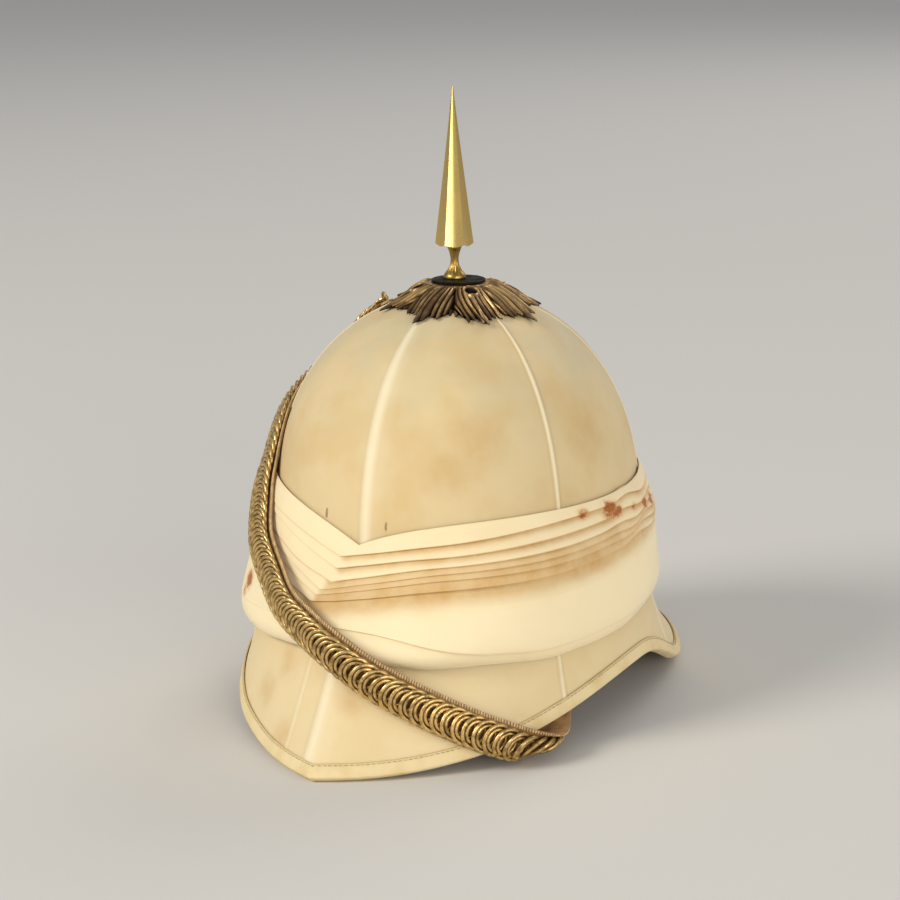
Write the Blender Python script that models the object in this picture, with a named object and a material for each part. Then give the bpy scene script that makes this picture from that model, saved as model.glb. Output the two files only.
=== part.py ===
"""An officer's foreign-service pith helmet with its cloth wrap, top spike and chin chain.

Metres, +Z up. The front peak points to -Y and the wearer's left is +X. The crown's axis is
upright and the helmet stands on its front and rear peaks. An angle round the axis is counted
in degrees from the front, growing towards the wearer's left.
"""

import bisect
import math

import bmesh
import bpy
from mathutils import Matrix, Vector

# Fits: the air left between two pieces that touch, and between wound cloth and the cork
FIT_GAP = 0.0003
WRAP_CLEARANCE = 0.0006

# Crown: half lengths and half width at the waist, where it turns into the brim
CROWN_FRONT = 0.105
CROWN_REAR = 0.108
CROWN_HALF_WIDTH = 0.0925
CROWN_TOP = 0.212
WAIST_HEIGHT = 0.0875
CROWN_ROUNDNESS = 2.14
CROWN_SHOULDER = 2.43
CORK_WALL = 0.0036

# Brim: reach of the finished edge from the axis, and the point of the front peak
BRIM_FRONT = 0.140
BRIM_REAR = 0.1755
BRIM_HALF_WIDTH = 0.1030
PEAK_POINT = 0.017
PEAK_POINT_ANGLE = 28.0
SIDE_ARCH = 0.0285
FRONT_REST_ANGLE = 5.0
REAR_REST_ANGLE = 142.0
FRONT_LIFT = 0.00090
REAR_LIFT = 0.00155
FLARE_FRONT = 0.85
FLARE_REAR = 0.15

# Edge binding
BINDING_CLOTH = 0.0008
BINDING_CLEARANCE = 0.0005
BINDING_LEG = 0.0062
BINDING_ROUND = 0.0009

# Cloth wrap: the V at the front, the foot of the folds and the foot of the smooth part
WRAP_TOP = 0.1235
WRAP_TILT = 0.0055
V_DROP = 0.0190
V_SPREAD_ANGLE = 20.0
FOLD_FOOT_FRONT = 0.077
FOLD_FOOT_RISE = 0.023
WRAP_FOOT = 0.047
WRAP_BULK_FRONT = 0.013
WRAP_BULK_REAR = 0.0065
FOLD_TOP_BULK = 0.0014
FOLD_STEP = 0.0010
FOLD_LIP = 0.02

# Leaf base, disc, foot and spike
LEAF_TIP_RADIUS = 0.0425
LEAF_TURN = -1.0
LEAF_METAL = 0.0011
BASE_SHIFT = (0.0028, -0.0015)
BASE_RISE = 0.0060
PLATEAU_RADIUS = 0.0150
EYE_RING_RADIUS = 0.0213
EYE_RADIUS = 0.0026
EYE_COUNT = 4
EYE_TURN = 44.0
DISC_RADIUS = 0.0140
DISC_THICKNESS = 0.0012
FOOT_HEIGHT = 0.0174
FOOT_RADIUS = 0.0058
SPIKE_HEIGHT = 0.0796
SPIKE_RADIUS = 0.0095
SPIKE_SIDES = 6
SPIKE_TURN = -3.0
SPIKE_SWELL = 1.06
SPIKE_TIP = 0.0003
FACET_DIP = 0.0011

# Chin chain, its leather backing, and what holds its two ends
CHAIN_WIDTH = 0.0155
CHAIN_THICKNESS = 0.0036
CHAIN_SHIFT = 0.0012
LINK_PITCH = 0.0056
LINK_BOW = 0.0012
BACKING_CLEARANCE = 0.0005
CHAIN_SOLIDS = 4
BACKING_WIDTH = 0.0190
BACKING_THICKNESS = 0.0012
WIRE_RADIUS = 0.0007
RING_RADIUS = 0.0026
RING_SINK = 0.0005
PLATE_RADIUS = 0.0036
PLATE_THICKNESS = 0.0010
PLATE_CLEARANCE = 0.0005
HOOK_ANGLE = -88.0
HOOK_REACH = 0.0388
STAPLE_ANGLE = 77.0
STAPLE_HEIGHT = 0.060

# Mesh fineness
COLUMNS = 60
LEAF_COLUMNS = 72
CROWN_ROWS = 9
BRIM_ROWS = 6
WRAP_INNER_ROWS = 4
SPIKE_ROWS = 5
WIRE_SIDES = 8
RING_STEPS = 16
ROUTE_STEPS = 12
NORMAL_SPAN = (2.0, 0.0015)

# Folds of the wrap: share of the height between the top edge and the folds' foot where each ends
FOLD_ENDS = (0.20, 0.40, 0.58, 0.74, 0.88, 1.0)

# Smooth part of the wrap: share of its height going down, and share of its bulk
WRAP_SECTION = (
    (0.00, 0.84),
    (0.15, 0.93),
    (0.38, 1.00),
    (0.60, 0.98),
    (0.78, 0.84),
    (0.91, 0.58),
    (1.00, 0.24),
)

# Reach of each leaf's tip, as a share of the tip radius, from the front leaf towards the wearer's left
LEAF_REACH = (1.0, 0.98, 0.98, 1.0, 1.0, 1.0, 0.82, 0.95)

# Half a leaf's outline: degrees from the leaf's middle, and share of its reach
LEAF_OUTLINE = (
    (0.0, 1.00),
    (5.0, 0.93),
    (10.0, 0.91),
    (15.0, 0.86),
    (20.0, 0.87),
    (22.5, 0.84),
)

# Leaf base seen from the side: share of the way from the plateau to the leaf's edge, and share of the rise
LEAF_SLOPE = ((0.0, 1.0), (0.22, 0.93), (0.48, 0.66), (0.78, 0.22), (1.0, 0.0))

# Spike foot: share of its height going up, and share of its bottom radius
FOOT_SECTION = (
    (0.00, 1.00),
    (0.05, 1.00),
    (0.12, 0.90),
    (0.24, 0.62),
    (0.38, 0.42),
    (0.50, 0.36),
    (0.62, 0.38),
    (0.80, 0.52),
    (0.92, 0.66),
    (1.00, 0.66),
)

# Section of the chain: share of its half width, share of its thickness, and share of the links' bow
LINK_SECTION = (
    (-0.95, 0.0, 0.0),
    (0.95, 0.0, 0.0),
    (0.80, 1.0, 1.0),
    (0.00, 0.8, 0.0),
    (-0.80, 1.0, 1.0),
)
LINK_GAP_WIDTH = 0.91
LINK_GAP_THICKNESS = 0.62

# Route of the middle of chain and backing, from the crown's hook to the staple inside the brim:
# angle, height in millimetres, millimetres out from the cork, and degrees that the face looks up
CHAIN_ROUTE = (
    (-105.0, 194.0, 5.0, 51.0),
    (-107.0, 184.0, 4.8, 40.0),
    (-103.0, 173.5, 4.0, 32.0),
    (-94.0, 165.5, 3.9, 28.0),
    (-84.0, 159.5, 3.8, 24.0),
    (-74.0, 154.5, 3.7, 21.0),
    (-65.5, 148.5, 3.6, 19.0),
    (-58.0, 141.0, 3.5, 17.0),
    (-51.5, 131.0, 4.3, 15.0),
    (-45.5, 119.5, 7.1, 20.0),
    (-40.0, 110.5, 9.6, 20.0),
    (-35.5, 102.0, 12.2, 16.0),
    (-31.0, 95.0, 14.4, 12.0),
    (-23.3, 85.0, 16.8, 8.0),
    (-14.8, 75.5, 19.4, 2.0),
    (-7.0, 68.5, 20.0, 0.0),
    (0.5, 61.0, 19.0, 0.0),
    (8.0, 49.5, 15.2, 5.0),
    (16.0, 37.5, 9.0, 12.0),
    (24.0, 28.0, 7.0, 16.0),
    (32.0, 19.5, 6.9, 12.0),
    (36.0, 15.6, 6.9, 2.0),
    (39.5, 12.2, 6.2, -15.0),
    (43.5, 9.8, 3.2, -41.0),
    (47.5, 9.4, -1.0, -70.0),
    (50.5, 12.0, -7.0, -105.0),
    (53.0, 18.0, -11.5, -138.0),
    (56.0, 27.0, -10.8, -163.0),
    (61.0, 36.5, -9.4, -172.0),
    (67.5, 46.0, -8.8, -176.0),
)


def clear_scene():
    """Takes away whatever the file holds."""
    for item in list(bpy.data.objects):
        bpy.data.objects.remove(item, do_unlink=True)
    for mesh in list(bpy.data.meshes):
        bpy.data.meshes.remove(mesh)


def finish(name, colour, roughness, metallic=0.0):
    """One Principled material."""
    made = bpy.data.materials.new(name)
    made.use_nodes = True
    shader = made.node_tree.nodes["Principled BSDF"]
    shader.inputs["Base Color"].default_value = (*colour, 1.0)
    shader.inputs["Roughness"].default_value = roughness
    shader.inputs["Metallic"].default_value = metallic
    return made


def around(angle):
    """Level unit vector from the axis at an angle counted from the front."""
    turn = math.radians(angle)
    return Vector((math.sin(turn), -math.cos(turn), 0.0))


def place(angle, radius, height):
    """Point at an angle, a distance from the axis and a height."""
    return around(angle) * radius + Vector((0.0, 0.0, height))


def off_front(angle):
    """How far an angle lies from the front, 0 to 180 degrees."""
    return abs((angle + 180.0) % 360.0 - 180.0)


def front_to_rear(front, rear, angle):
    """A size that passes smoothly from its front to its rear value."""
    share = (1.0 - math.cos(math.radians(angle))) / 2.0
    return front + (rear - front) * share


def oval(angle, front, rear, half_width):
    """Radius of an oval made of two half ellipses."""
    turn = math.radians(angle)
    length = front if math.cos(turn) > 0.0 else rear
    return 1.0 / math.hypot(math.cos(turn) / length, math.sin(turn) / half_width)


def read_table(table, share):
    """Value of a two-column table at a share between its rows."""
    keys = [row[0] for row in table]
    index = min(max(bisect.bisect_right(keys, share), 1), len(table) - 1)
    (x0, y0), (x1, y1) = table[index - 1], table[index]
    return y0 + (y1 - y0) * (share - x0) / (x1 - x0)


def crown_reach(angle):
    """Radius of the crown at the waist."""
    return oval(angle, CROWN_FRONT, CROWN_REAR, CROWN_HALF_WIDTH)


def crown_height(angle, radius):
    """Height of the crown's outside at a distance from the axis."""
    share = min(radius / crown_reach(angle), 1.0)
    rise = (1.0 - share**CROWN_ROUNDNESS) ** (1.0 / CROWN_SHOULDER)
    return WAIST_HEIGHT + (CROWN_TOP - WAIST_HEIGHT) * rise


def brim_reach(angle):
    """Radius of the brim's finished edge, with the point at the front seam."""
    point = max(0.0, 1.0 - off_front(angle) / PEAK_POINT_ANGLE) ** 2
    return oval(angle, BRIM_FRONT, BRIM_REAR, BRIM_HALF_WIDTH) + PEAK_POINT * point


def arch(angle):
    """Height of the brim's underside: level under both peaks, raised at the sides."""
    turn = off_front(angle)
    if turn < 90.0:
        share = max(0.0, (turn - FRONT_REST_ANGLE) / (90.0 - FRONT_REST_ANGLE))
    else:
        share = max(0.0, (REAR_REST_ANGLE - turn) / (REAR_REST_ANGLE - 90.0))
    return SIDE_ARCH * (1.0 - math.cos(math.pi * share)) / 2.0


def brim_point(angle, share):
    """Point of the brim's outside, from the waist (0) to the finished edge (1)."""
    flare = front_to_rear(FLARE_FRONT, FLARE_REAR, angle)
    edge_height = arch(angle) + front_to_rear(FRONT_LIFT, REAR_LIFT, angle)
    reach = crown_reach(angle)
    out = flare * share + (1.0 - flare) * share * share
    radius = reach + (brim_reach(angle) - reach) * out
    return Vector((radius, WAIST_HEIGHT + (edge_height - WAIST_HEIGHT) * share))


def edge_frame(angle):
    """Cork's outer edge in the upright plane, the way the brim runs there and its normal."""
    end, before = brim_point(angle, 1.0), brim_point(angle, 0.99)
    along = (end - before).normalized()
    normal = Vector((-along.y, along.x))
    cork_edge = end - along * (BINDING_CLEARANCE + BINDING_CLOTH) + normal * CORK_WALL / 2.0
    return cork_edge, along, normal


def cork_profile(angle):
    """Outside of the cork in the upright plane, from near the top down to the edge."""
    points = []
    for row in range(1, CROWN_ROWS + 1):
        turn = math.pi / 2.0 * (1.0 - row / CROWN_ROWS)
        radius = crown_reach(angle) * math.cos(turn) ** (2.0 / CROWN_ROUNDNESS)
        height = WAIST_HEIGHT + (CROWN_TOP - WAIST_HEIGHT) * math.sin(turn) ** (2.0 / CROWN_SHOULDER)
        points.append(Vector((radius, height)))
    edge = edge_frame(angle)[0]
    shift = edge - brim_point(angle, 1.0)
    for row in range(1, BRIM_ROWS + 1):
        share = row / BRIM_ROWS
        points.append(brim_point(angle, share) + shift * share)
    return points


def cork_radius(angle, height):
    """Radius of the cork's outside at a height, read on its flat facets."""
    top = Vector((0.0, CROWN_TOP))
    points = [top, *cork_profile(angle)]
    for upper, lower in zip(points, points[1:]):
        if lower.y <= height:
            share = (upper.y - height) / (upper.y - lower.y)
            return upper.x + (lower.x - upper.x) * share
    return points[-1].x


def inset_profile(points, depth):
    """The same profile moved inwards by a wall's thickness."""
    moved = []
    ends = [Vector((0.0, CROWN_TOP)), *points]
    for index, point in enumerate(points):
        before = ends[index]
        after = points[min(index + 1, len(points) - 1)]
        along = (after - before).normalized()
        moved.append(point + Vector((along.y, -along.x)) * depth)
    return moved


def angles(count=COLUMNS, start=0.0):
    """Evenly spaced angles right round the axis."""
    return [start + 360.0 * step / count for step in range(count)]


def add_object(name, corners, faces, material, smooth_angle=None):
    """An object from corners and faces, its faces turned outwards."""
    mesh = bpy.data.meshes.new(name)
    mesh.from_pydata([tuple(corner) for corner in corners], [], faces)
    shape = bmesh.new()
    shape.from_mesh(mesh)
    bmesh.ops.recalc_face_normals(shape, faces=shape.faces)
    shape.to_mesh(mesh)
    shape.free()
    mesh.materials.append(material)
    if smooth_angle is not None:
        mesh.shade_smooth()
        mesh.set_sharp_from_angle(angle=math.radians(smooth_angle))
    made = bpy.data.objects.new(name, mesh)
    bpy.context.scene.collection.objects.link(made)
    return made


def skin(rings, closed):
    """Corners and faces of a surface drawn through rings of equal count."""
    count = len(rings[0])
    corners = [corner for ring in rings for corner in ring]
    faces = []
    last = len(rings) if closed else len(rings) - 1
    for row in range(last):
        low, high = row * count, (row + 1) % len(rings) * count
        for step in range(count):
            after = (step + 1) % count
            faces.append((low + step, low + after, high + after, high + step))
    if not closed:
        faces.append(tuple(range(count)))
        faces.append(tuple(range(len(corners) - count, len(corners))))
    return corners, faces


def split_evenly(faces):
    """Four-cornered faces cut along like diagonals, so that twisting faces stay parallel."""
    cut = []
    for face in faces:
        if len(face) == 4:
            cut.extend((face[:3], (face[0], face[2], face[3])))
        else:
            cut.append(face)
    return cut


def close_with_poles(rings, first_pole, last_pole):
    """Corners and faces of a skin whose two ends run to single points."""
    count = len(rings[0])
    corners, faces = skin(rings, closed=False)
    faces = faces[:-2]
    first, last = len(corners), len(corners) + 1
    last_ring = len(corners) - count
    for step in range(count):
        after = (step + 1) % count
        faces.append((step, after, first))
        faces.append((last_ring + step, last_ring + after, last))
    return [*corners, first_pole, last_pole], faces


def helmet_shell():
    """Cork crown and brim in one hollow wall, open below."""
    outer = [cork_profile(angle) for angle in angles()]
    inner = [inset_profile(points, CORK_WALL) for points in outer]
    sections = [[*out, *reversed(back)] for out, back in zip(outer, inner)]
    rings = []
    for row in range(len(sections[0])):
        rings.append([place(angle, *section[row]) for angle, section in zip(angles(), sections)])
    top = Vector((0.0, 0.0, CROWN_TOP))
    corners, faces = close_with_poles(rings, top, top - Vector((0.0, 0.0, CORK_WALL)))
    cloth = finish("aged cream cloth over cork", (0.69, 0.56, 0.36), 0.8)
    return add_object("helmet_shell", corners, faces, cloth, 35)


def binding_section(angle):
    """Folded strip round the cork's edge, flat where it rests."""
    edge, along, normal = edge_frame(angle)
    middle = edge - normal * CORK_WALL / 2.0
    channel = CORK_WALL / 2.0 + BINDING_CLEARANCE
    outside = channel + BINDING_CLOTH
    tip = BINDING_CLEARANCE + BINDING_CLOTH
    outline = (
        (-BINDING_LEG, outside),
        (tip - BINDING_ROUND, outside),
        (tip, outside - BINDING_ROUND),
        (tip, BINDING_ROUND - outside),
        (tip - BINDING_ROUND, -outside),
        (-BINDING_LEG, -outside),
        (-BINDING_LEG, -channel),
        (BINDING_CLEARANCE, -channel),
        (BINDING_CLEARANCE, channel),
        (-BINDING_LEG, channel),
    )
    points = [middle + along * ahead + normal * out for ahead, out in outline]
    return [place(angle, point.x, max(point.y, 0.0)) for point in points]


def edge_binding():
    """Binding of the whole brim."""
    corners, faces = skin([binding_section(angle) for angle in angles()], closed=True)
    cloth = finish("pale edge binding", (0.78, 0.66, 0.45), 0.7)
    return add_object("edge_binding", corners, faces, cloth, 40)


def wrap_top(angle):
    """Height of the folds' upper edge, which leans to one side and dips to the V at the front."""
    tilt = WRAP_TILT * math.sin(math.radians(angle))
    return WRAP_TOP - tilt - V_DROP * math.exp(-off_front(angle) / V_SPREAD_ANGLE)


def fold_foot(angle):
    """Height where the folds end and the smooth part begins."""
    return FOLD_FOOT_FRONT + FOLD_FOOT_RISE * math.sin(math.radians(off_front(angle)) / 2.0)


def wrap_bulk(angle):
    """Thickness of the wound cloth at its fullest."""
    return front_to_rear(WRAP_BULK_FRONT, WRAP_BULK_REAR, angle)


def seat_points(angle, top, bottom):
    """Inside of the wrap, just clear of the cork, going up."""
    points = []
    for row in range(WRAP_INNER_ROWS + 1):
        height = bottom + (top - bottom) * row / WRAP_INNER_ROWS
        points.append(place(angle, cork_radius(angle, height) + WRAP_CLEARANCE, height))
    return points


def fold_section(angle):
    """Section of the folds: each one leans out to its lower edge and covers the next."""
    top, bottom = wrap_top(angle), fold_foot(angle) + FIT_GAP / 2.0
    full = wrap_bulk(angle) * WRAP_SECTION[0][1]
    points = []
    start = 0.0
    for end in FOLD_ENDS:
        for share, step in ((start, -FOLD_STEP / 2.0), (end, FOLD_STEP / 2.0)):
            height = top + (bottom - top) * share
            bulk = FOLD_TOP_BULK + (full - FOLD_TOP_BULK) * share + step
            points.append(place(angle, cork_radius(angle, height) + WRAP_CLEARANCE + bulk, height))
        start = end + FOLD_LIP
    return points + seat_points(angle, top, bottom)


def puggaree_folds():
    """Pleated upper part of the wrap."""
    corners, faces = skin([fold_section(angle) for angle in angles()], closed=True)
    cloth = finish("cream muslin folds", (0.88, 0.74, 0.52), 0.85)
    return add_object("puggaree_folds", corners, faces, cloth, 30)


def smooth_section(angle):
    """Section of the smooth lower part of the wrap."""
    top, bottom = fold_foot(angle) - FIT_GAP / 2.0, WRAP_FOOT
    points = []
    for share, fullness in WRAP_SECTION:
        height = top + (bottom - top) * share
        bulk = wrap_bulk(angle) * fullness
        points.append(place(angle, cork_radius(angle, height) + WRAP_CLEARANCE + bulk, height))
    return points + seat_points(angle, top, bottom)


def puggaree_wrap():
    """Smooth lower part of the wrap."""
    corners, faces = skin([smooth_section(angle) for angle in angles()], closed=True)
    cloth = finish("cream muslin", (0.90, 0.77, 0.56), 0.85)
    return add_object("puggaree_wrap", corners, faces, cloth, 40)


def plateau_height():
    """Top of the leaf base, where the disc stands."""
    return CROWN_TOP + BASE_RISE


def on_base(angle, radius, height):
    """Point placed about the middle of the leaf base, which sits a little off the axis."""
    return place(angle, radius, height) + Vector((*BASE_SHIFT, 0.0))


def crown_under(point):
    """Height of the crown's outside straight under a point."""
    return crown_height(math.degrees(math.atan2(point.x, -point.y)), math.hypot(point.x, point.y))


def leaf_edge(angle):
    """Radius of the leaf base's outline."""
    turn = (angle - LEAF_TURN) % 360.0
    span = 360.0 / len(LEAF_REACH)
    off_tip = abs((turn + span / 2.0) % span - span / 2.0)
    leaf, share = divmod(turn / span, 1.0)
    here = LEAF_REACH[int(leaf) % len(LEAF_REACH)]
    after = LEAF_REACH[(int(leaf) + 1) % len(LEAF_REACH)]
    return LEAF_TIP_RADIUS * read_table(LEAF_OUTLINE, off_tip) * (here + (after - here) * share)


def leaf_column(angle):
    """Points of the leaf base's upper face at one angle, going out."""
    edge = leaf_edge(angle)
    seat = FIT_GAP + LEAF_METAL
    inner = on_base(angle, PLATEAU_RADIUS, 0.0)
    rise = plateau_height() - crown_under(inner) - seat
    column = []
    for share, raised in LEAF_SLOPE:
        point = on_base(angle, PLATEAU_RADIUS + (edge - PLATEAU_RADIUS) * share, 0.0)
        point.z = crown_under(point) + seat + rise * raised
        column.append(point)
    return column


def leaf_base():
    """Stamped base of leaves over the crown's top, with an eye near each leaf's root."""
    columns = [leaf_column(angle) for angle in angles(LEAF_COLUMNS, LEAF_TURN)]
    upper = [[column[row] for column in columns] for row in range(len(LEAF_SLOPE))]
    drop = Vector((0.0, 0.0, LEAF_METAL))
    lower = [[corner - drop for corner in ring] for ring in reversed(upper)]
    pole = on_base(0.0, 0.0, plateau_height())
    corners, faces = close_with_poles(upper + lower, pole, pole - drop)
    bronze = finish("dark leaf brass", (0.17, 0.10, 0.04), 0.45, 0.9)
    base = add_object("leaf_base", corners, faces, bronze, 30)
    cut = base.modifiers.new("eyes", "BOOLEAN")
    cut.operation = "DIFFERENCE"
    cut.object = eye_cutter()
    return base


def eye_cutter():
    """Short upright rods that cut the eyes."""
    shape = bmesh.new()
    for angle in angles(EYE_COUNT, EYE_TURN):
        spot = on_base(angle, EYE_RING_RADIUS, plateau_height())
        bmesh.ops.create_cone(
            shape,
            cap_ends=True,
            segments=12,
            radius1=EYE_RADIUS,
            radius2=EYE_RADIUS,
            depth=4.0 * BASE_RISE,
            matrix=Matrix.Translation(spot),
        )
    mesh = bpy.data.meshes.new("eye_cutter")
    shape.to_mesh(mesh)
    shape.free()
    cutter = bpy.data.objects.new("eye_cutter", mesh)
    cutter.hide_render = True
    cutter.display_type = "WIRE"
    bpy.context.scene.collection.objects.link(cutter)
    return cutter


def turned(name, section, steps, material, start=0.0):
    """A solid turned on the axis from rows of radius and height, going up."""
    turns = angles(steps, start)
    rings = [[place(angle, radius, height) for angle in turns] for radius, height in section]
    corners, faces = skin(rings, closed=False)
    return add_object(name, corners, faces, material, 35)


def top_disc():
    """Thin disc between the leaf base and the spike's foot."""
    low = plateau_height() + FIT_GAP
    bevel = DISC_THICKNESS / 4.0
    section = (
        (DISC_RADIUS - bevel, low),
        (DISC_RADIUS, low + bevel),
        (DISC_RADIUS, low + DISC_THICKNESS - bevel),
        (DISC_RADIUS - bevel, low + DISC_THICKNESS),
    )
    disc = turned("top_disc", section, 36, finish("dark brass disc", (0.10, 0.07, 0.04), 0.5, 0.8))
    disc.data.transform(Matrix.Translation((*BASE_SHIFT, 0.0)))
    return disc


def foot_bottom():
    """Height of the spike foot's underside."""
    return plateau_height() + DISC_THICKNESS + 2.0 * FIT_GAP


def spike_bottom():
    """Height where the spike sits on its foot."""
    return foot_bottom() + FOOT_HEIGHT + FIT_GAP


def spike_foot():
    """Waisted foot that carries the spike."""
    section = []
    for share, width in FOOT_SECTION:
        section.append((FOOT_RADIUS * width, foot_bottom() + FOOT_HEIGHT * share))
    return turned("spike_foot", section, 20, finish("brass foot", (0.42, 0.28, 0.08), 0.35, 1.0))


def spike_ring(share):
    """Corners and facet middles of the spike at a share of its height."""
    radius = SPIKE_RADIUS * (1.0 - share) ** SPIKE_SWELL + SPIKE_TIP
    ring = []
    for step, angle in enumerate(angles(2 * SPIKE_SIDES, SPIKE_TURN)):
        on_facet = step % 2
        reach = radius * math.cos(math.pi / SPIKE_SIDES) if on_facet else radius
        dip = FACET_DIP * on_facet * (1.0 - share) ** 8
        ring.append(place(angle, reach, spike_bottom() + SPIKE_HEIGHT * share - dip))
    return ring


def spike():
    """Six-sided spike whose facets end in a shallow bow."""
    hollow = [place(angle, FOOT_RADIUS, spike_bottom()) for angle in angles(2 * SPIKE_SIDES, SPIKE_TURN)]
    rings = [hollow]
    for step in range(SPIKE_ROWS + 1):
        rings.append(spike_ring(step / SPIKE_ROWS))
    corners, faces = skin(rings, closed=False)
    return add_object("spike", corners, faces, finish("bright brass", (0.65, 0.46, 0.15), 0.25, 1.0))


def crown_outside(angle, reach):
    """Point of the crown's outside at a distance from the axis."""
    return place(angle, reach, crown_height(angle, reach))


def brim_inside(angle, height):
    """Point of the cork's inside at a height."""
    points = inset_profile(cork_profile(angle), CORK_WALL)
    for upper, lower in zip(points, points[1:]):
        if lower.y <= height:
            break
    point = upper.lerp(lower, (upper.y - height) / (upper.y - lower.y))
    return place(angle, point.x, point.y)


def seat_on(surface, angle, where, outwards):
    """Point of a surface and its normal on the side asked for."""
    turned_by, moved_by = NORMAL_SPAN
    across = surface(angle + turned_by, where) - surface(angle - turned_by, where)
    along = surface(angle, where + moved_by) - surface(angle, where - moved_by)
    normal = across.cross(along).normalized()
    if (normal.dot(around(angle)) > 0.0) != outwards:
        normal.negate()
    return surface(angle, where), normal


def torus(name, centre, axis, material):
    """Wire ring about an axis."""
    first = axis.orthogonal().normalized()
    second = axis.cross(first)
    rings = []
    for step in range(RING_STEPS):
        turn = 2.0 * math.pi * step / RING_STEPS
        out = first * math.cos(turn) + second * math.sin(turn)
        ring = []
        for side in range(WIRE_SIDES):
            roll = 2.0 * math.pi * side / WIRE_SIDES
            reach = RING_RADIUS + WIRE_RADIUS * math.cos(roll)
            ring.append(centre + out * reach + axis * WIRE_RADIUS * math.sin(roll))
        rings.append(ring)
    corners, faces = skin(rings, closed=True)
    return add_object(name, corners, faces, material, 60)


def plate_with_ring(name, seat, normal, ring_centre, ring_axis, material):
    """Small round plate with a wire ring standing on it, in one piece."""
    shape = bmesh.new()
    turn = normal.to_track_quat("Z", "Y").to_matrix().to_4x4()
    middle = seat + normal * (PLATE_CLEARANCE + PLATE_THICKNESS / 2.0)
    bmesh.ops.create_cone(
        shape,
        cap_ends=True,
        segments=RING_STEPS,
        radius1=PLATE_RADIUS,
        radius2=PLATE_RADIUS,
        depth=PLATE_THICKNESS,
        matrix=Matrix.Translation(middle) @ turn,
    )
    mesh = bpy.data.meshes.new(name)
    shape.to_mesh(mesh)
    shape.free()
    mesh.materials.append(material)
    plate = bpy.data.objects.new(name, mesh)
    bpy.context.scene.collection.objects.link(plate)
    ring = torus(name + "_ring", ring_centre, ring_axis, material)
    ring.hide_render = True
    ring.display_type = "WIRE"
    weld = plate.modifiers.new("ring", "BOOLEAN")
    weld.operation = "UNION"
    weld.object = ring
    return plate


def chain_end(plate_name, ring_name, seat, normal, towards):
    """Plate, its ring and the end ring linked through it; gives where the chain begins."""
    brass = finish(plate_name + " brass", (0.45, 0.32, 0.12), 0.35, 1.0)
    along = towards - seat
    along = (along - normal * along.dot(normal)).normalized()
    eye = seat + normal * (PLATE_CLEARANCE + PLATE_THICKNESS + RING_RADIUS - RING_SINK)
    plate_with_ring(plate_name, seat, normal, eye, normal.cross(along), brass)
    link = eye + along * (2.0 * RING_RADIUS - 2.0 * WIRE_RADIUS - FIT_GAP)
    torus(ring_name, link, normal, brass)
    return link + along * (RING_RADIUS + WIRE_RADIUS + FIT_GAP), normal


def facing(angle, lean):
    """Direction that looks outwards and up by a number of degrees."""
    rise = math.radians(lean)
    return around(angle) * math.cos(rise) + Vector((0.0, 0.0, math.sin(rise)))


def chain_stations():
    """Place and facing at each chosen point of the route, with both ends at their rings."""
    rows = []
    for angle, height, out, lean in CHAIN_ROUTE:
        height /= 1000.0
        radius = cork_radius(angle, height) + out / 1000.0
        rows.append((place(angle, radius, height), facing(angle, lean)))
    crown_seat = seat_on(crown_outside, HOOK_ANGLE, HOOK_REACH, True)
    brim_seat = seat_on(brim_inside, STAPLE_ANGLE, STAPLE_HEIGHT, False)
    first = chain_end("crown_hook", "crown_end_ring", *crown_seat, rows[0][0])
    last = chain_end("brim_staple", "brim_end_ring", *brim_seat, rows[-1][0])
    return [first, *rows, last]


def between(before, start, end, after, share):
    """Point of the smooth curve through four others."""
    line = (end - before) * share
    square = (2.0 * before - 5.0 * start + 4.0 * end - after) * share**2
    cube = (3.0 * start - before - 3.0 * end + after) * share**3
    return start + (line + square + cube) / 2.0


def smooth_route(stations):
    """Close samples of place, facing and distance along the route."""
    padded = [stations[0], *stations, stations[-1]]
    samples = []
    for index in range(len(stations) - 1):
        four = padded[index : index + 4]
        for step in range(ROUTE_STEPS):
            share = step / ROUTE_STEPS
            samples.append([between(*(row[kind] for row in four), share) for kind in (0, 1)])
    samples.append(list(stations[-1]))
    travelled = 0.0
    for index, sample in enumerate(samples):
        if index:
            travelled += (sample[0] - samples[index - 1][0]).length
        sample.append(travelled)
    return samples


def route_frame(samples, distance):
    """Middle, side and facing of the chain at a distance along it."""
    distances = [sample[2] for sample in samples]
    index = min(max(bisect.bisect_right(distances, distance), 1), len(samples) - 1)
    low, high = samples[index - 1], samples[index]
    share = (distance - low[2]) / (high[2] - low[2])
    middle = low[0].lerp(high[0], share)
    along = (high[0] - low[0]).normalized()
    face = low[1].lerp(high[1], share)
    face = (face - along * face.dot(along)).normalized()
    return middle, along.cross(face), face


def link_section(samples, distance, width_share, thickness_share, bow):
    """Section through the chain: its two edges trail behind its middle."""
    base = BACKING_THICKNESS + BACKING_CLEARANCE - stack_thickness() / 2.0
    section = []
    for across, up, trail in LINK_SECTION:
        middle, side, face = route_frame(samples, distance - bow * trail)
        sideways = CHAIN_WIDTH / 2.0 * width_share * across + CHAIN_SHIFT
        raised = base + CHAIN_THICKNESS * thickness_share * up
        section.append(middle + side * sideways + face * raised)
    return section


def stack_thickness():
    """Backing and chain together."""
    return BACKING_THICKNESS + BACKING_CLEARANCE + CHAIN_THICKNESS


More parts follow.
